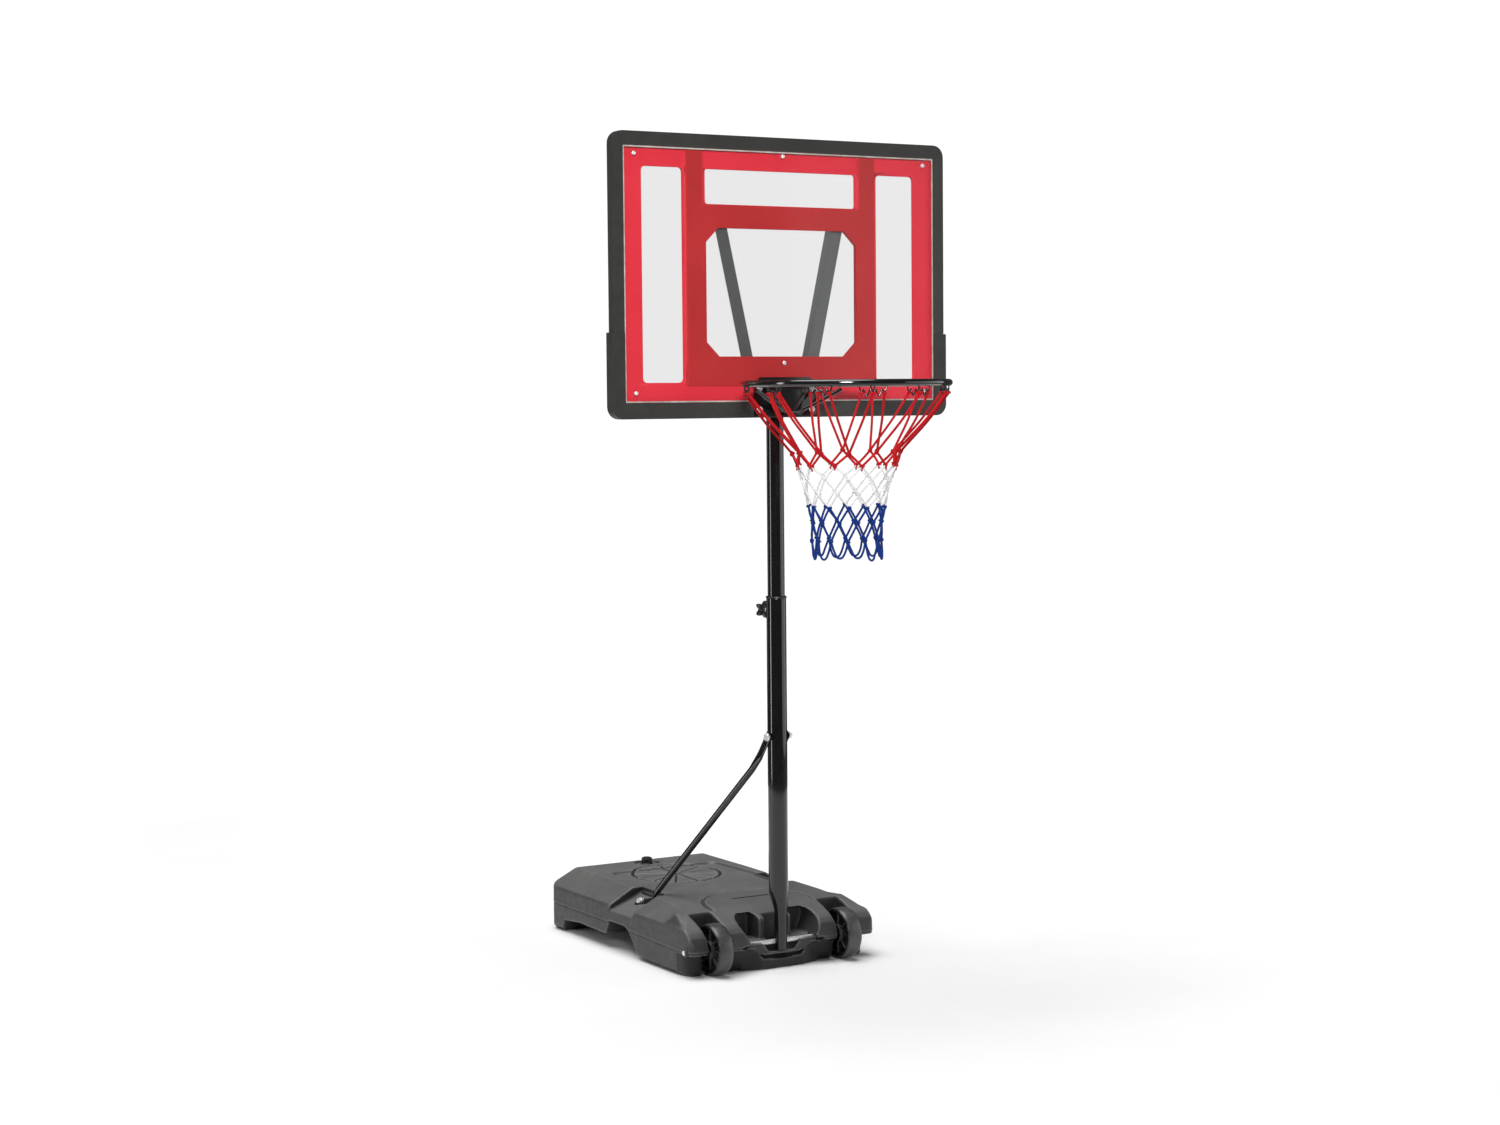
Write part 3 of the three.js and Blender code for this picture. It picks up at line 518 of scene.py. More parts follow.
def board_red():
    """Translucent red moulding: deep red where its raised pad touches the clear sheet, bright elsewhere."""
    look = Look("board_red", (0.7, 0.02, 0.04), 0.45, Specular_IOR_Level=0.2)
    across, _, z = look.split(look.position)
    x = look.math("ABSOLUTE", across)

    def over(value, edge, low, high, blur=5):
        return look.spread(value, low, high, (edge - 5) * MM, (edge + blur) * MM, smooth=True)

    beside = look.largest(over(x, PAD_INNER, 0, 1), over(z, PAD_BAR_Z, 1, 0))
    pad = look.times(look.times(over(x, PAD_OUTER, 1, 0), beside), over(z, PAD_FOOT, 0, 1, 2.5))
    tint = look.mottle(6, 2, (0.84, 0.016, 0.04), (0.9, 0.03, 0.055))
    deep = look.mottle(8, 2, (0.5, 0.012, 0.014), (0.56, 0.018, 0.02))
    look.color(look.mix(pad, tint, deep))
    return look.surface((90, 3, 0.38, 0.52), (800, 2, 0.00004))


def clear_look():
    look = Look("clear_sheet", 0.05, 0.06, Alpha=0.13)
    return look.surface((40, 4, 0.04, 0.09), (5, 1, 0.00006))


def sheet_edge_highlight_look():
    # painted highlight: this light strip stands for the light that the clear sheet's edge catches
    look = Look("clear_sheet_edge_highlight", (0.62, 0.6, 0.58), 0.4)
    look.bump(look.noise(600, 3), 0.0001)
    look.color(look.mottle(60, 3, (0.26, 0.23, 0.21), (0.44, 0.41, 0.38)))
    return look.material


# The deck's moulded fan, filler recess and middle panel, whose back and front edges are (Y, half width).
FAN = Vector((0, 426))
FAN_R, FAN_SPOKES = 95, 12
FILLER_Y, FILLER_R = 560, 27
PANEL_BACK, PANEL_FRONT = (489, 128), (226, 150)
PANEL_MIDDLE = (PANEL_BACK[0] + PANEL_FRONT[0]) / 2
PANEL_REACH = (PANEL_BACK[0] - PANEL_FRONT[0]) / 2
# The front lip's lower edge, in metres: low in its middle and higher at its sides.
LIP_MIDDLE_X, LIP_MIDDLE_Z = 42 * MM, 27 * MM
LIP_SIDE_X, LIP_SIDE_Z = 80 * MM, 47 * MM
# The board's H-shaped pad, as half widths and heights.
PAD_INNER, PAD_OUTER, PAD_BAR_Z, PAD_FOOT = 181, 219, 1532, 1178
STRANDS, STRAND_LEAN = 2, 2.1

TANK = tank_plastic()
WHEEL = wheel_plastic()
PHOSPHATE = moulded("phosphated_spring_steel", 0.02, 0.05, 0.4, 1600, 0.00003)
LOOKS = {
    "black_steel": [enamel("gloss_black_enamel", 0.005, 0.13)],
    "grey_steel": [enamel("grey_enamel", (0.095, 0.1, 0.098), 0.38)],
    "zinc": [plated("zinc_plate")],
    "frame_plastic": [
        moulded("frame_plastic", (0.012, 0.012, 0.011), (0.024, 0.024, 0.022), 0.46, 1400, 0.00005),
    ],
    "black_plastic": [moulded("black_plastic", 0.005, 0.014, 0.36, 1500, 0.00006)],
    "red_plastic": [board_red()],
    "clear_plastic": [clear_look(), sheet_edge_highlight_look()],
    "net_cord": [
        cord_look("cord_red", (0.5, 0.002, 0.006), (0.24, 0.001, 0.003)),
        cord_look("cord_white", 0.74, 0.55),
        cord_look("cord_blue", (0.002, 0.035, 0.24), (0.001, 0.01, 0.08)),
    ],
}

# ---- sizes from the frame, millimetres

TANK_HIGH = cad("base_tank")[1]
LOWER_LOW, LOWER_HIGH = cad("lower_pole")
UPPER_LOW, UPPER_HIGH = cad("upper_pole")
LOWER_R, UPPER_R = LOWER_HIGH.x, UPPER_HIGH.x
WALL = 1.5
SWAGE_SHIFT, SWAGE_R, SWAGE_LOW_Z, SWAGE_HIGH_Z = -8, 13.8, 112, 158
AXLE_Y, AXLE_Z = middle("axle")[1:]
AXLE_R = half_size("axle")[2]
WHEEL_X = middle("wheel_right")[0]
WHEEL_HALF, _, WHEEL_R = half_size("wheel_right")
KNOB_Z = middle("knob_stud")[2]
CROSS_Z = middle("brace_cross_bolt")[2]
_, RIM_Y, RIM_Z = middle("rim_ring")
RIM_WIRE = half_size("rim_ring")[2]
RIM_R = half_size("rim_ring")[0] - RIM_WIRE
SHEET_LOW, SHEET_HIGH = cad("clear_panel")
MOULD_LOW, MOULD_HIGH = cad("board_moulding")
PLATE_LOW, PLATE_HIGH = cad("rim_back_plate")
BRACKET_LOW, BRACKET_HIGH = cad("rim_bracket")
POLE_BRACKET_LOW, POLE_BRACKET_HIGH = cad("pole_bracket")
HOOKS = 12
# The frame's opening and corners.
OPEN_HALF, OPEN_LOW, OPEN_HIGH, FRAME_CORNER = 360, 1145, 1639, 24
# The board's windows: low X, high X, low Z, high Z, corner, and its steps, which are 1 for a cut corner.
WINDOWS = [
    (-316, -224, 1184, 1601, 9, 6),
    (224, 316, 1184, 1601, 9, 6),
    (-175, 175, 1532, 1600, 6, 6),
    (-174.5, 174.5, 1235, 1486, 28, 1),
]


def smooth(t):
    t = min(1.0, max(0.0, t))
    return t * t * (3 - 2 * t)


def curve(points, steps):
    """Smooth path through the points."""
    points = [Vector(p) for p in points]
    path = []
    for i, (b, c) in enumerate(zip(points, points[1:])):
        a = points[i - 1] if i else b
        d = points[i + 2] if i < len(points) - 2 else c
        square, cube = 2 * a - 5 * b + 4 * c - d, 3 * b - a - 3 * c + d
        for step in range(steps):
            t = step / steps
            path.append(0.5 * (2 * b + (c - a) * t + square * t**2 + cube * t**3))
    return path + [points[-1]]


def bake(piece):
    """Put a piece's modifiers into its mesh."""
    depsgraph = bpy.context.evaluated_depsgraph_get()
    mesh = bpy.data.meshes.new_from_object(piece.evaluated_get(depsgraph))
    piece.modifiers.clear()
    old = piece.data
    piece.data = mesh
    bpy.data.meshes.remove(old)


def turned(name, profile, body, slot, node, centre=(0, 0, 0), axis=UP, sides=72, wave=None, materials=None):
    """A piece that is one solid of revolution."""

    def build(bm):
        revolve(bm, profile, centre, axis, sides, wave)

    return make(name, build, body, slot, node, materials)


def swept(name, path, sections, body, node, **options):
    """A piece of black steel that is one tube or bar along a path."""
    make(name, lambda bm: sweep(bm, path, sections, **options), body, "black_steel", node)


def carve(piece, cuts=(), joins=()):
    """Join solids to a piece, cut others out of it, and finish it again."""
    for operation, builds in (("UNION", joins), ("DIFFERENCE", cuts)):
        for build in builds:
            mesh = draw(build, "tool")
            tool = add_object("tool", mesh)
            modifier = piece.modifiers.new("carve", "BOOLEAN")
            modifier.operation = operation
            modifier.solver = "EXACT"
            modifier.object = tool
            bake(piece)
            bpy.data.objects.remove(tool)
            bpy.data.meshes.remove(mesh)
    finish(piece)


def finish(piece, sharp=SHARP):
    """Smooth shading that keeps flat faces flat: an edge sharper than this angle stays sharp."""
    piece.data.shade_smooth()
    piece.data.set_sharp_from_angle(angle=math.radians(sharp))
    weights = piece.modifiers.new("weights", "WEIGHTED_NORMAL")
    weights.keep_sharp = True


def bolt(name, at, along, shank, head, body, node, length, nut=None):
    """Hexagon-head bolt with washer: the head stands outside `at`, the shank runs `length` along."""
    along = Vector(along).normalized()
    washer = head * 1.15

    def build(bm):
        hexagon(bm, head, -5, -0.8, at, along)
        profile = [(0, -1.4), (washer, -1.4), (washer, 0), (shank, 0), (shank, length), (0, length)]
        revolve(bm, profile, at, along, 32)
        if nut:
            hexagon(bm, head, nut, nut + 5, at, along)

    make(name, build, body, "zinc", node)


# ---- base tank

# The raised cover behind the pole, an oval from front to back.
COVER_HALF, COVER_BACK, COVER_FRONT = 115, 175, 80
HUB_R, PANEL_CORNER, COVER_FADE_Y = 12, 18, 64
DECK_BAND, DECK_FRONT_Y = 18, 14
SEAM_Z, SEAM_SWING, SEAM_TURN_Y = 54, 4, 200
VOXEL = 2.1 * MM


def bead(distance, width):
    """1 on a line, falling to 0 at half its width."""
    return np.clip(1 - (distance / (width / 2)) ** 2, 0, 1)


def step(distance, width):
    """1 inside an edge and 0 outside it, with a smooth ramp of this width."""
    t = np.clip(0.5 - distance / width, 0, 1)
    return t * t * (3 - 2 * t)


def deck_relief(x, y):
    """Height of the deck's moulded detail over its plain face."""
    radius = np.hypot(x - FAN.x, y - FAN.y)
    angle = np.arctan2(y - FAN.y, x - FAN.x)
    pitch = 2 * math.pi / FAN_SPOKES
    across = np.abs(np.sin((angle + pitch / 2) % pitch - pitch / 2)) * radius
    spokes = bead(across, 5) * step(radius - FAN_R, 4) * step(HUB_R + 4 - radius, 4)
    relief = -4.2 * bead(radius - FAN_R, 8) - 3.2 * spokes - 2.0 * step(radius - HUB_R, 4)
    (back_y, back_half), (front_y, front_half) = PANEL_BACK, PANEL_FRONT
    half = back_half + (back_y - y) / (back_y - front_y) * (front_half - back_half)
    dx = np.abs(x) - half + PANEL_CORNER
    dy = np.abs(y - PANEL_MIDDLE) - PANEL_REACH + PANEL_CORNER
    outside = np.hypot(np.maximum(dx, 0), np.maximum(dy, 0))
    panel = outside + np.minimum(np.maximum(dx, dy), 0) - PANEL_CORNER
    relief -= 4.6 * step(panel, 6)
    rise = np.maximum(y - COVER_FRONT, 0)
    oval = np.hypot(x / COVER_HALF, rise / (COVER_BACK - COVER_FRONT))
    cover = (oval - 1) * np.hypot(x, rise) / np.maximum(oval, 0.2)
    return relief + step(COVER_FADE_Y - y, 20) * (2.2 * step(cover, 5) - 3.2 * bead(cover - 5, 8))


def build_tank():
    """The CAD tank with its edges rounded, its deck moulded and a seam round its walls."""
    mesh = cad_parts["base_tank"].data.copy()
    piece = add_object("tank", mesh)
    remesh = piece.modifiers.new("remesh", "REMESH")
    remesh.mode = "VOXEL"
    remesh.voxel_size = VOXEL
    soften = piece.modifiers.new("soften", "SMOOTH")
    soften.factor = 0.5
    soften.iterations = 12
    bake(piece)
    count = len(piece.data.vertices)
    spots = np.empty(count * 3)
    normals = np.empty(count * 3)
    piece.data.vertices.foreach_get("co", spots)
    piece.data.vertex_normals.foreach_get("vector", normals)
    spots, normals = spots.reshape(-1, 3) / MM, normals.reshape(-1, 3)
    x, y, z = spots[:, 0], spots[:, 1] - AXIS_Y / MM, spots[:, 2]
    deck = (normals[:, 2] > 0.9) & (z > TANK_HIGH.z - DECK_BAND) & (y > DECK_FRONT_Y)
    lift = np.where(deck, deck_relief(x, y), 0)
    side = np.abs(normals[:, 2]) < 0.6
    above = z - SEAM_Z - SEAM_SWING * np.tanh((y - SEAM_TURN_Y) / 120)
    seam = np.where(side, -0.9 * bead(above, 4.5) + 0.5 * bead(above - 4, 5), 0)
    spots += normals * seam[:, None]
    spots[:, 2] += lift
    piece.data.vertices.foreach_set("co", (spots * MM).ravel())
    piece.data.update()
    thin = piece.modifiers.new("thin", "DECIMATE")
    thin.ratio = 0.35
    bake(piece)
    piece.data.materials.clear()
    piece.data.materials.append(TANK)
    settle(piece, "base", "base_tank", 40)


def build_filler_cap():
    """Screw cap with a ribbed grip."""
    low, high = cad("filler_cap")
    foot, top = low.z, high.z
    neck = foot + 22
    grip = [(13.8, neck), (13.8, neck + 2.5), (11.6, neck + 4)]
    grip += [(11.8, top - 4.5), (10.6, top - 1.6), (8, top - 0.5)]

    def ribs(angle, radius):
        return radius + (0.35 * math.cos(24 * angle) if 11 < radius < 13 else 0)

    profile = [(0, foot), (9.8, foot), (10.4, foot + 1), (10.4, neck), *grip, (0, top - 0.3)]
    spot = (0, middle("filler_cap")[1], 0)
    turned("cap", profile, "filler_cap", "black_plastic", "filler_cap", spot, sides=96, wave=ribs)


# ---- axle and wheels


def build_axle():
    reach = cad("axle")[1].x
    profile = barrel(AXLE_R, -reach, reach, 1, 0.8)
    turned("axle_rod", profile, "base", "zinc", "axle", (0, AXLE_Y, AXLE_Z), RIGHT, 40)


def build_wheel(side, word):
    """Blow-moulded wheel: crowned tread, dished web with ribs, hub."""
    h = WHEEL_HALF
    outer = [
        (14, -h), (17.5, -h + 1.2), (18.5, -8.5), (37.5, -8.5), (40, -10), (43, -15), (46, -16.9),
        (48.6, -16.6), (50.6, -14.2), (51.6, -10), (WHEEL_R, -4),
    ]
    bore = AXLE_R + 0.35
    profile = [(bore, -h + 0.6), (bore + 0.6, -h)] + outer + [(r, -z) for r, z in reversed(outer)]
    profile += [(bore + 0.6, h), (bore, h - 0.6)]
    centre = (side * WHEEL_X, AXLE_Y, AXLE_Z)

    def build(bm):
        revolve(bm, profile, centre, RIGHT, 96)
        for i in range(8):
            rib = bmesh.new()
            for near, far in ((-13, -8), (8, 13)):
                prism(rib, [rectangle(-1.3, 1.3, 16, 42)], "X", near, far, 0.6)
            turn = Matrix.Rotation(i * math.pi / 4, 4, "X")
            bmesh.ops.transform(rib, matrix=Matrix.Translation(centre) @ turn, verts=rib.verts)
            mesh = mesh_from(rib, "rib")
            bm.from_mesh(mesh)
            bpy.data.meshes.remove(mesh)

    make(f"wheel_{word}_tyre", build, f"wheel_{word}", "black_plastic", f"wheel_{word}", [WHEEL])


def build_axle_cap(side, word):
    low, high = cad(f"axle_cap_{word}")
    face = low.x if side > 0 else high.x
    bore = AXLE_R + 0.2
    profile = [(bore, 0), (9, 0), (9, 0.8), (8.2, 2.2), (7, 3.4), (AXLE_R + 1, 4), (bore, 3.4)]

    turned(f"push_nut_{word}", profile, "base", "zinc", f"axle_cap_{word}",
           (face, AXLE_Y, AXLE_Z), (side, 0, 0), 40, materials=[PHOSPHATE])


# ---- poles and knob

SETTING, PITCH = 50, 1.25


def build_lower_pole():
    """Tube with a swaged foot, which is narrower and set forward."""
    foot, top = LOWER_LOW.z, LOWER_HIGH.z
    neck = SWAGE_HIGH_Z - SWAGE_LOW_Z
    heights = [foot, foot + 0.8, SWAGE_LOW_Z - 30]
    heights += [SWAGE_LOW_Z + neck * i / 14 for i in range(15)]
    heights += [300, 500, top - 0.8, top]

    def outer(z):
        body = SWAGE_R - 1.5 * smooth((SWAGE_LOW_Z - z) / (SWAGE_LOW_Z - foot))
        return body + (LOWER_R - SWAGE_R) * smooth((z - SWAGE_LOW_Z) / neck)

    def build(bm):
        skin = [(outer(z) - (0.5 if z in (foot, top) else 0), z) for z in heights]
        revolve(bm, skin + [(outer(z) - WALL, z) for z in reversed(heights)], sides=72)
        for vert in bm.verts:
            vert.co.y += SWAGE_SHIFT * smooth((SWAGE_HIGH_Z - vert.co.z) / neck)

    make("lower_tube", build, "base", "black_steel", "lower_pole")


def build_collar():
    low, high = cad("pole_collar")
    bore = UPPER_R + 0.3
    inside = LOWER_R - WALL - 0.3
    lip = LOWER_HIGH.z
    profile = [
        (bore, low.z), (inside, low.z), (inside, lip + 0.3), (LOWER_R + 0.9, lip + 0.3),
        (LOWER_R + 1.2, lip + 1.2), (LOWER_R + 1.1, lip + 3), (LOWER_R + 0.3, lip + 4.4),
        (bore + 1, high.z), (bore, high.z - 0.6),
    ]
    turned("collar", profile, "base", "black_plastic", "pole_collar")


def build_upper_pole():
    """Inner tube with its setting holes, and the cap pushed into its top."""
    foot, top = UPPER_LOW.z, UPPER_HIGH.z
    inner = UPPER_R - WALL
    profile = [
        (inner, foot), (UPPER_R - 0.4, foot), (UPPER_R, foot + 0.5), (UPPER_R, top - 0.5),
        (UPPER_R - 0.4, top), (inner, top),
    ]

    def hole(z):
        return lambda bm: revolve(bm, [(0, 0), (4.4, 0), (4.4, 40), (0, 40)], (0, 4, z), BACK, 24)

    piece = turned("upper_tube", profile, "upper", "black_steel", "upper_pole")
    carve(piece, [hole(KNOB_Z - SETTING * i) for i in range(4)])
    low, high = cad("pole_top_cap")
    plug = inner - 0.3
    profile = [
        (0, low.z), (plug - 1, low.z), (plug, low.z + 1), (plug, top + 0.3), (UPPER_R, top + 0.3),
        (UPPER_R - 0.3, top + 1.6), (UPPER_R - 3, high.z - 0.6), (UPPER_R - 7, high.z), (0, high.z),
    ]
    turned("top_cap", profile, "upper", "black_plastic", "pole_top_cap", sides=64)


def build_stud_nut():
    """The knob's nut, welded to the pole."""
    low, high = cad("knob_nut")

    def nut(bm):
        hexagon(bm, 8.6, low.y, high.y, (0, 0, KNOB_Z), BACK)

    make("stud_nut", nut, "base", "black_steel", "knob_nut")


def build_stud():
    """Threaded stud."""
    start, end = (corner.y for corner in cad("knob_stud"))
    radius = half_size("knob_stud")[2]
    profile = [(0, start), (radius - 0.9, start)]
    for i in range(int((end - start - 1) / PITCH)):
        foot = start + 0.5 + i * PITCH
        profile += [(radius - 0.5, foot), (radius, foot + PITCH * 0.4), (radius, foot + PITCH * 0.6)]
    profile += [(radius - 0.9, end), (0, end)]
    turned("stud", profile, "knob_stud", "zinc", "knob_stud", (0, 0, KNOB_Z), BACK, 32)


def build_knob():
    """Star knob with five lobes."""

    def lobes(angle, reach):
        return reach + 4.3 * max(0.0, reach - 8) / 6.2 * math.cos(5 * angle)

    start, end = (corner.y for corner in cad("height_knob"))
    profile = [
        (0, start), (7.4, start), (8, start + 0.6), (8, start + 3.8), (12.6, start + 4.6),
        (13.9, start + 6), (14.2, start + 8), (14.2, end - 4), (13.8, end - 2), (12.4, end - 0.7),
        (9, end), (6, end - 0.4), (0, end - 0.9),
    ]
    spot = (0, 0, KNOB_Z)
    turned("star_knob", profile, "height_knob", "black_plastic", "height_knob", spot, BACK, 120, lobes)


# ---- braces

FLOOR_TILT, FLOOR_EDGE_Z, FOOT_X, FOOT_Y = 0.42, 82, 168, 278
PLATE = 3


def build_brace(side, word):
    """Tube with both ends pressed flat: the top along the pole's side, the foot on the pocket's floor."""
    normal = Vector((side * FLOOR_TILT, 0, 1)).normalized()
    ground = Vector((side * FOOT_X, FOOT_Y, FLOOR_EDGE_Z + FLOOR_TILT * (TANK_HIGH.x - FOOT_X)))
    foot = ground + normal * (0.3 + PLATE / 2)
    inward = Vector((-side * FOOT_X, -FOOT_Y, 0)).normalized()
    inward = (inward - normal * inward.dot(normal)).normalized()
    bend = foot + inward * 32
    plate_x = side * (LOWER_R + 0.4 + PLATE / 2)
    top = Vector((plate_x, 0, CROSS_Z))
    neck = Vector((plate_x, 34, CROSS_Z - 44))
    start = Vector((plate_x + side * 5, 48, CROSS_Z - 66))
    lead = (neck - top).normalized()
    end = bend + normal * 5
    run = end - start
    sides = 24
    plate, half = slot_section(9.4, PLATE / 2, sides), slot_section(8.2, 4.2, sides)
    path = [top - lead * 10, top - lead * 9, top, neck - lead * 26, neck - lead * 12, neck]
    path += [start + run * share for share in (0.02, 0.2, 0.5, 0.8, 0.93, 0.97)]
    path += [bend, bend - inward * 12, foot, foot - inward * 10, foot - inward * 11]
    sections = [slot_section(7, PLATE / 2 - 0.5, sides)] + [plate] * 4 + [half] + [circle(7, sides)] * 5
    sections += [half] + [plate] * 4 + [slot_section(8, PLATE / 2 - 0.5, sides)]
    turns = []
    flat = Vector((side, 0, 0))
    for i in range(len(path)):
        share = smooth((i - 6) / 6)
        turns.append(flat.slerp(normal, share) if 0 < share < 1 else (normal if share >= 1 else flat))
    swept(f"stay_{word}", path, sections, "base", f"brace_{word}", normals=turns)
    at = foot + normal * (PLATE / 2 + 0.3)
    bolt(f"foot_bolt_{word}", at, -normal, 4, 7.5, "base", f"brace_foot_bolt_{word}", 26)


def build_cross_bolt():
    reach = LOWER_R + 0.4 + PLATE + 0.3
    bolt("cross_bolt", (-reach, 0, CROSS_Z), RIGHT, 4, 7.5, "base", "brace_cross_bolt", 2 * reach + 10)

    def nut(bm):
        hexagon(bm, 7.5, 0, 6, (reach, 0, CROSS_Z), RIGHT)

    make("cross_nut", nut, "base", "zinc", "brace_cross_nut")


# ---- pole bracket and struts


def build_pole_bracket():
    """Plate behind the board with a pressed saddle that clasps the pole."""
    low, high = POLE_BRACKET_LOW, POLE_BRACKET_HIGH
    outer = UPPER_R + 0.3 + 3
    angles = [a * math.pi / 24 for a in range(25)]
    saddle = [(outer * math.cos(a), outer * math.sin(a)) for a in angles]
    saddle = [(outer, low.y + 1), *saddle, (-outer, low.y + 1)]

    def plate(bm):
        outline = fillet(rectangle(low.x, high.x, low.z, high.z), 9)
        prism(bm, [outline], "Y", low.y, low.y + 3, 0.7)

    def clasp(bm):
        prism(bm, [saddle], "Z", low.z + 6, high.z - 6, 0.8)

    def bore(bm):
        radius, foot, top = UPPER_R + 0.3, low.z - 5, high.z + 5
        revolve(bm, [(0, foot), (radius, foot), (radius, top), (0, top)])

    piece = make("clasp", plate, "upper", "black_steel", "pole_bracket")
    carve(piece, [bore], [clasp])
    reach = outer + 0.3
    for word in ("lower", "upper"):
        node = f"pole_bolt_{word}"
        at = (-reach, 0, middle(node)[2])
        bolt(f"clasp_bolt_{word}", at, RIGHT, 3, 5.5, "upper", node, 2 * reach + 4, nut=2 * reach)


STRUT_FOOT, STRUT_TOP = Vector((52, 1121)), Vector((141, 1516))
STRUT_FACE, STRUT_FLANGE, STRUT_WALL, FLANGE_FOOT = 26, 22, 2, 106


def build_strut(side, word):
    """Steel angle: one leg flat on the board's back, the other turned away from it."""
    y = MOULD_HIGH.y + 0.3
    lean = math.atan2(STRUT_TOP.x - STRUT_FOOT.x, STRUT_TOP.y - STRUT_FOOT.y)
    length = (STRUT_TOP - STRUT_FOOT).length
    half = STRUT_FACE / 2
    flange_x = half - STRUT_WALL if side < 0 else -half
    turn = Matrix.Translation((side * STRUT_FOOT.x, 0, STRUT_FOOT.y)) @ Matrix.Rotation(side * lean, 4, "Y")

    def leg(outline, corners, axis, low):
        def build(bm):
            prism(bm, [fillet(outline, corners)], axis, low, low + STRUT_WALL, 0.5)
            bmesh.ops.transform(bm, matrix=turn, verts=bm.verts)

        return build

    face = leg(rectangle(-half, half, 0, length), 3, "Y", y)
    flange = leg(rectangle(y + 0.5, y + STRUT_FLANGE, FLANGE_FOOT, length), [0, 3, 3, 0], "X", flange_x)
    piece = make(f"angle_{word}", face, "upper", "grey_steel", f"strut_{word}")
    carve(piece, joins=[flange])
    x, _, z = middle(f"strut_screw_{word}")
    at = (x, y + STRUT_WALL + 0.3, z)
    profile = [(0, -8), (1.6, -8), (2, -7), (2, 0)]
    profile += [(4.4, 0), (4.4, 1), (3.4, 2.6), (1.6, 3), (1, 1.8), (0, 1.8)]
    turned(f"angle_screw_{word}", profile, "upper", "zinc", f"strut_screw_{word}", at, BACK, 32)


# ---- board


def inset_outline(x0, x1, z0, z1, inset, corner):
    return fillet(rectangle(x0 + inset, x1 - inset, z0 + inset, z1 - inset), corner)


def panel_outline(inset):
    return inset_outline(SHEET_LOW.x, SHEET_HIGH.x, SHEET_LOW.z, SHEET_HIGH.z, inset, 16)


def build_sheet():
    """Clear sheet, with a thin strip in front of its rim inside the frame's opening that carries a painted
    highlight for the light its edge catches.
    """
    front, back = SHEET_LOW.y, SHEET_HIGH.y

    def build(bm):
        prism(bm, [panel_outline(0)], "Y", front, back, 0.4)
        # the thin strip in front of the sheet's rim carries the painted highlight
        outer, inner = [
            inset_outline(-OPEN_HALF, OPEN_HALF, OPEN_LOW, OPEN_HIGH, inset, 2) for inset in (0.6, 3.4)
        ]
        prism(bm, [outer, inner[::-1]], "Y", front - 1.4, front - 0.05, 0.4, material=1)

    make("sheet", build, "upper", "clear_plastic", "clear_panel")


def build_moulding():
    """Red sheet with four windows. An H-shaped pad on it stands forward to the clear sheet."""
    front, back = MOULD_LOW.y, MOULD_HIGH.y
    holes = [fillet(rectangle(*edges), corner, steps)[::-1] for *edges, corner, steps in WINDOWS]
    centre_hole = holes[-1]
    half = [(PAD_OUTER, PAD_FOOT), (PAD_OUTER, 1637), (PAD_INNER, 1637), (PAD_INNER, 1530)]
    pad_outline = [(-PAD_OUTER, PAD_FOOT), *half, *[(-x, z) for x, z in half[:0:-1]]]

    def build(bm):
        prism(bm, [panel_outline(0.5), *holes], "Y", front + 2.2, back, 1.2)

    def pad(bm):
        prism(bm, [fillet(pad_outline, 6), centre_hole], "Y", front, front + 4, 1.4)

    piece = make("red_board", build, "upper", "red_plastic", "board_moulding")
    carve(piece, joins=[pad])


def build_frame(name, node, opening, tip, cuts):
    """Half of the channel frame: a side of the board with two arms, whose ends are at `end`."""
    low, high = cad(node)
    side, far, end = (1, high.z, low.z) if opening == OPEN_HIGH else (-1, low.z, high.z)
    half, inner = side * high.x, side * OPEN_HALF
    outline = [
        (-half, end), (-inner, end), (-inner, opening), (inner, opening), (inner, end), (half, end),
        (half, far), (-half, far),
    ]
    radii = [tip, 0.5, 1.5, 1.5, 0.5, tip, FRAME_CORNER, FRAME_CORNER]

    def build(bm):
        prism(bm, [fillet(outline, radii)], "Y", low.y, high.y, 2.4, 3)

    carve(make(name, build, "upper", "frame_plastic", node), cuts)


def build_frames():
    """Channel frame round the board: an upper arch, and a stouter lower sleeve that overlaps it."""
    def groove(bm):
        channel = rectangle(SHEET_LOW.x - 0.3, SHEET_HIGH.x + 0.3, SHEET_LOW.z - 0.3, SHEET_HIGH.z + 0.3)
        prism(bm, [fillet(channel, 15)], "Y", SHEET_LOW.y - 0.3, MOULD_HIGH.y + 0.3)

    def notch(reach, front, back):
        return lambda bm: prism(bm, [rectangle(-reach, reach, 1100, 1150)], "Y", front, back)

    front_notch = notch(PLATE_HIGH.x + 2, -80, SHEET_LOW.y + 0.5)
    back_notch = notch(POLE_BRACKET_HIGH.x + 2, MOULD_HIGH.y - 0.5, 20)
    build_frame("frame_arch", "frame_upper", OPEN_HIGH, 0.5, [groove])
    build_frame("frame_sleeve", "frame_lower", OPEN_LOW, 1.5, [groove, front_notch, back_notch])


def build_board_screw(i):
    """Pan-head screw with a cross slot."""
    node = f"board_screw_{i}"
    low, high = cad(node)
    x, _, z = middle(node)
    face = SHEET_LOW.y - 0.3
    profile = [
        (0, low.y + 0.1), (2.2, low.y), (3.4, low.y + 0.5), (4, low.y + 1.4), (4.1, face), (2.5, face),
        (2.5, high.y - 4), (4.5, high.y - 4), (4.5, high.y - 0.5), (4, high.y), (0, high.y),
    ]

    def slot(across, up):
        outline = rectangle(x - across, x + across, z - up, z + up)
        return lambda bm: prism(bm, [outline], "Y", low.y - 1, low.y + 1.2)

    piece = turned(f"pan_screw_{i}", profile, "upper", "zinc", node, (x, 0, z), BACK, 40)
    carve(piece, [slot(0.6, 2.5), slot(2.5, 0.6)])


# ---- rim


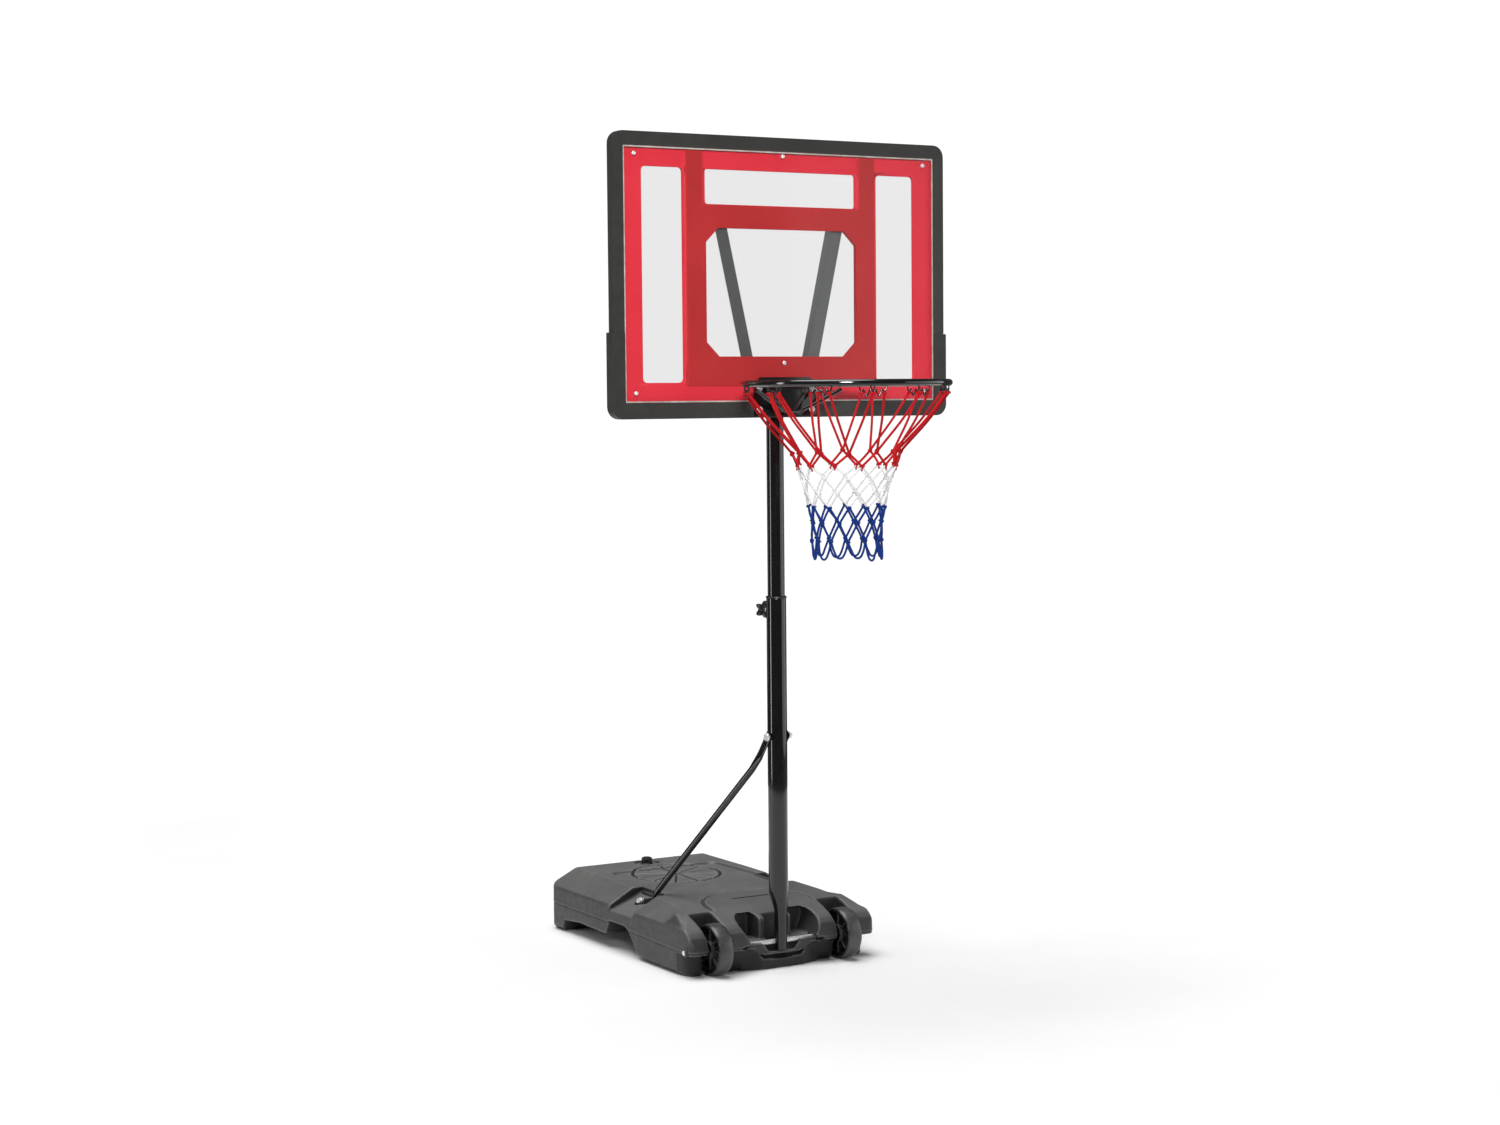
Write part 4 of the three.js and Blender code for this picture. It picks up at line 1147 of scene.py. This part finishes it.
def around(radius, degrees, z):
    """A point round the rim's axis, with 0 degrees at the rim's front."""
    angle = math.radians(degrees)
    return Vector((radius * math.sin(angle), RIM_Y - radius * math.cos(angle), z))


def build_ring():
    ring = [around(RIM_R, 2.25 * i, RIM_Z) for i in range(160)]
    swept("ring", ring, circle(RIM_WIRE, 28), "upper", "rim_ring", closed=True, normals=[UP] * len(ring))


def build_rim_plate():
    """Back plate with its two upper corners cut off."""

    def plate(bm):
        low, high = PLATE_LOW, PLATE_HIGH
        drop = 14
        outline = [
            (low.x, low.z), (high.x, low.z), (high.x, high.z - drop), (high.x - drop, high.z),
            (low.x + drop, high.z), (low.x, high.z - drop),
        ]
        prism(bm, [fillet(outline, 5)], "Y", low.y, high.y, 0.9)

    make("rim_plate", plate, "upper", "black_steel", "rim_back_plate")


def build_rim_bracket():
    """Pressed channel that narrows downwards, open below."""

    def wedge(inset, foot):
        low, high = BRACKET_LOW, BRACKET_HIGH

        def build(bm):
            corners = []
            for y, wide, narrow in ((low.y + inset, 36, 20), (high.y - inset * 0.2, 48.5, 26.5)):
                for z, half in ((low.z - foot, narrow), (high.z - inset, wide)):
                    corners += [bm.verts.new((s * (half - inset), y, z)) for s in (-1, 1)]
            for face in ((0, 1, 3, 2), (4, 5, 7, 6), (0, 1, 5, 4), (2, 3, 7, 6), (0, 2, 6, 4), (1, 3, 7, 5)):
                bm.faces.new([corners[i] for i in face])
            bmesh.ops.recalc_face_normals(bm, faces=bm.faces)
            bmesh.ops.bevel(bm, geom=bm.edges[:], offset=2.2, segments=3, profile=0.5, affect="EDGES")

        return build

    bracket = make("rim_box", wedge(0, 0), "upper", "black_steel", "rim_bracket")
    carve(bracket, [wedge(3, 12)])


def build_rim_stay(side, word):
    """Support rod under the ring."""
    high = around(RIM_R, 180 - side * 30, RIM_Z - RIM_WIRE - 4.3)
    foot = Vector((side * 22, BRACKET_LOW.y - 4.3, 1130))
    sag = [foot.lerp(high, 0.35) - Vector((0, 0, 2)), foot.lerp(high, 0.7) - Vector(UP)]
    swept(f"rim_stay_{word}", curve([foot, *sag, high], 8), circle(4, 20), "upper", f"rim_rod_{word}")


def build_rim_bolt(number):
    node = f"rim_bolt_{number}"
    x, _, z = middle(node)
    front = PLATE_LOW.y - 0.3
    reach = POLE_BRACKET_LOW.y + 3.3 - front
    bolt(f"plate_bolt_{number}", (x, front, z), BACK, 3, 5.5, "upper", node, reach + 4, nut=reach)


# Half of a hook's wire, from the middle of its long loop to its end: along the ring, and down from it.
HOOK_HALF = [(0, -19), (3.5, -13), (6, -6), (8, -9.5), (11, -11), (13.5, -7), (16, 0)]
HOOK_ROUTE = [(-along, drop) for along, drop in HOOK_HALF[:0:-1]] + HOOK_HALF
HOOK_TOP = RIM_Z - RIM_WIRE + 0.8


def build_hook(i):
    """Bent wire under the ring: two dips hold a cord each, and a long middle loop."""
    degrees = 30 * i + 15
    route = [around(RIM_R, degrees + math.degrees(s / RIM_R), HOOK_TOP + drop) for s, drop in HOOK_ROUTE]
    name = f"{i + 1:02d}"
    swept(f"hook_{name}", curve(route, 4), circle(1.4, 12), "upper", f"net_hook_{name}")


# ---- net

# Rows of knots: first angle, height, radius, and the colour of the cord that leaves them downwards.
RED, WHITE, BLUE = 0, 1, 2
NET_ROWS = [
    (0, 1048, 105, RED), (15, 1023, 96, WHITE), (0, 999, 88, WHITE), (15, 970, 80, WHITE),
    (0, 944, 73, BLUE), (15, 914, 68, BLUE), (0, 880, 66, BLUE),
]
CORD_RADII = (2.4, 1.9, 2.2)
LOOP_Z, LOOP_R = 843, 66


def cord(bm, points, steps, color):
    sweep(bm, curve(points, steps), circle(CORD_RADII[color], 10), material=color)


def knot(bm, at, size, radius, color):
    """Overhand knot: a trefoil pulled tight."""
    tilt = Matrix.Rotation(random.uniform(0, math.pi), 3, random.choice("XYZ"))
    path = []
    for i in range(36):
        t = 2 * math.pi * i / 36
        reach = 2 + math.cos(3 * t)
        spot = Vector((reach * math.cos(2 * t), reach * math.sin(2 * t), math.sin(3 * t)))
        path.append(at + tilt @ (spot * size / 3))
    sweep(bm, path, circle(radius, 8), closed=True, material=color)


def outward_at(spot):
    return Vector((spot.x, spot.y - RIM_Y, 0)).normalized()


def knot_rows():
    """Where the knots are: every row has one for each hook, a little out of place."""
    rows = []
    for first, z, reach, _ in NET_ROWS:
        row = []
        for i in range(HOOKS):
            radius = reach + random.uniform(-1.5, 1.5)
            degrees = first + 30 * i + random.uniform(-1.3, 1.3)
            row.append(around(radius, degrees, z + random.uniform(-2.5, 2.5)))
        rows.append(row)
    return rows


def hang_from_hooks(bm, row):
    """Two red cords from each hook's dips to the knots of the first row."""
    for i in range(HOOKS):
        for side in (-1, 1):
            start = around(RIM_R, 30 * i + 15 + side * math.degrees(11 / RIM_R), HOOK_TOP - 13.5)
            end = row[(i + (side > 0)) % HOOKS]
            middle_spot = start.lerp(end, 0.5)
            out = outward_at(middle_spot)
            quarter, late = start.lerp(end, 0.25) + out * 3, start.lerp(end, 0.78) + out * 2
            cord(bm, [start, quarter, middle_spot + out * 4.5, late, end], 7, RED)
            knot(bm, start, 3.4, 1.7, RED)


def weave_rows(bm, rows):
    """Cords from each knot to the two knots below it."""
    for row, below, (first, _, _, color) in zip(rows, rows[1:], NET_ROWS):
        offset = -1 if first == 0 else 0
        for i, spot in enumerate(row):
            for neighbour in (offset, offset + 1):
                end = below[(i + neighbour) % HOOKS]
                middle_spot = spot.lerp(end, 0.5)
                sway = outward_at(middle_spot) * random.uniform(0.2, 1.6)
                sway += Vector((0, 0, random.uniform(-1, 0.4)))
                cord(bm, [spot, middle_spot + sway, end], 6, color)


def tie_knots(bm, rows):
    """A knot at each spot. The second row's are red, with the red cord's cut ends below them."""
    for number, row in enumerate(rows):
        color = RED if number == 1 else NET_ROWS[number][3]
        for spot in row:
            if number == 1:
                tail = spot + Vector((random.uniform(-2, 2), random.uniform(-2, 2), -9))
                route = curve([spot, spot.lerp(tail, 0.5) + Vector((0.6, 0.4, 0)), tail], 4)
                sweep(bm, route, circle(1.7, 8), material=RED)
            knot(bm, spot, CORD_RADII[color] * 1.75, CORD_RADII[color] * 0.72, color)


def net_geometry(bm):
    rows = knot_rows()
    hang_from_hooks(bm, rows[0])
    weave_rows(bm, rows)
    tie_knots(bm, rows)
    last = rows[-1]
    for i, spot in enumerate(last):
        degrees = 30 * i + 15 + random.uniform(-1.5, 1.5)
        reach = LOOP_R + random.uniform(-2, 2) + (7 if i == 3 else 0)
        drop = LOOP_Z + random.uniform(-3, 4)
        bottom = [(-10, 15), (-4, 2.5), (4, 2.5), (10, 15)]
        loop = [around(reach, degrees + turn, drop + rise) for turn, rise in bottom]
        cord(bm, [spot, *loop, last[(i + 1) % HOOKS]], 6, BLUE)


# ---- studio

CAMERA_SPOT = Vector((-2719.54, -4477.91, 1159.42))
CAMERA_AZIMUTH, CAMERA_PITCH, CAMERA_ROLL = math.radians(-30.7), math.radians(-3.68), -0.0086
LENS = 62.58


def place_camera():
    data = bpy.data.cameras.new("camera")
    data.lens = LENS
    data.sensor_width = 36
    data.clip_end = 100
    turn = Matrix.Rotation(CAMERA_AZIMUTH, 4, "Z") @ Matrix.Rotation(math.pi / 2 + CAMERA_PITCH, 4, "X")
    spot = CAMERA_SPOT * MM + Vector((0, AXIS_Y, 0))
    camera = add_object("camera", data)
    camera.matrix_world = Matrix.Translation(spot) @ turn @ Matrix.Rotation(CAMERA_ROLL, 4, "Z")
    bpy.context.scene.camera = camera


def light(name, kind, spot, energy, target, size=None, angle=None):
    data = bpy.data.lights.new(name, kind)
    data.energy = energy
    if kind == "AREA":
        data.shape = "RECTANGLE"
        data.size, data.size_y = size
    elif kind == "SPOT":
        data.spot_size, data.spot_blend = math.radians(angle), 0.7
        data.shadow_soft_size = size
    else:
        data.angle = math.radians(angle)
    lamp = add_object(name, data)
    lamp.location = spot
    lamp.rotation_euler = (Vector(target) - Vector(spot)).to_track_quat("-Z", "Y").to_euler()


def light_studio():
    world = bpy.data.worlds.new("studio")
    world.use_nodes = True
    nodes, links = world.node_tree.nodes, world.node_tree.links
    glow, white = nodes["Background"], nodes.new("ShaderNodeBackground")
    for background, strength in ((glow, 0.06), (white, 1.05)):
        background.inputs["Color"].default_value = (1, 1, 1, 1)
        background.inputs["Strength"].default_value = strength
    mix = nodes.new("ShaderNodeMixShader")
    links.new(nodes.new("ShaderNodeLightPath").outputs["Is Camera Ray"], mix.inputs["Fac"])
    links.new(glow.outputs[0], mix.inputs[1])
    links.new(white.outputs[0], mix.inputs[2])
    links.new(mix.outputs[0], nodes["World Output"].inputs["Surface"])
    bpy.context.scene.world = world
    light("overhead", "SUN", (-0.8, 0.4, 6), 3.35, (0, 0, 0), angle=50)
    light("panel_left", "AREA", (-4.35, 1.0, 1.3), 50, (0, 0, 1), (0.6, 3.2))
    light("panel_right", "AREA", (3.9, -2.1, 1.3), 62, (0, 0, 1), (5.2, 3.0))
    light("panel_behind", "AREA", (-1.9, 4.6, 1.5), 5, (0, 0, 1), (1.0, 3.0))
    light("board_spot", "SPOT", (-2.2, -3.8, 2.5), 1000, (0, -0.1, 1.36), 0.5, 27)
    scene = bpy.context.scene
    scene.view_settings.view_transform = "Standard"
    scene.view_settings.look = "None"


FLOOR_R = 2.4


def build_floor():
    look = Look("floor", 0.86, 0.7)
    look.color(look.mottle(3, 3, 0.85, 0.87))
    mesh = bpy.data.meshes.new("floor")
    rim = [(x, y, 0) for x, y in circle(FLOOR_R, 64)]
    mesh.from_pydata(rim, [], [tuple(range(64))])
    mesh.materials.append(look.material)
    add_object("floor", mesh)


# ---- assembly

place_camera()
light_studio()
build_floor()
build_tank()
build_filler_cap()
build_axle()
for side, word in SIDES:
    build_wheel(side, word)
    build_axle_cap(side, word)
    build_brace(side, word)
    build_strut(side, word)
build_lower_pole()
build_collar()
build_upper_pole()
build_stud_nut()
build_stud()
build_knob()
build_cross_bolt()
build_pole_bracket()
build_sheet()
build_moulding()
build_frames()
for number in range(1, 7):
    build_board_screw(number)
build_ring()
build_rim_plate()
build_rim_bracket()
for side, word in SIDES:
    build_rim_stay(side, word)
for number in range(1, 5):
    build_rim_bolt(number)
for number in range(HOOKS):
    build_hook(number)
make("net_cords", net_geometry, "upper", "net_cord", "net")
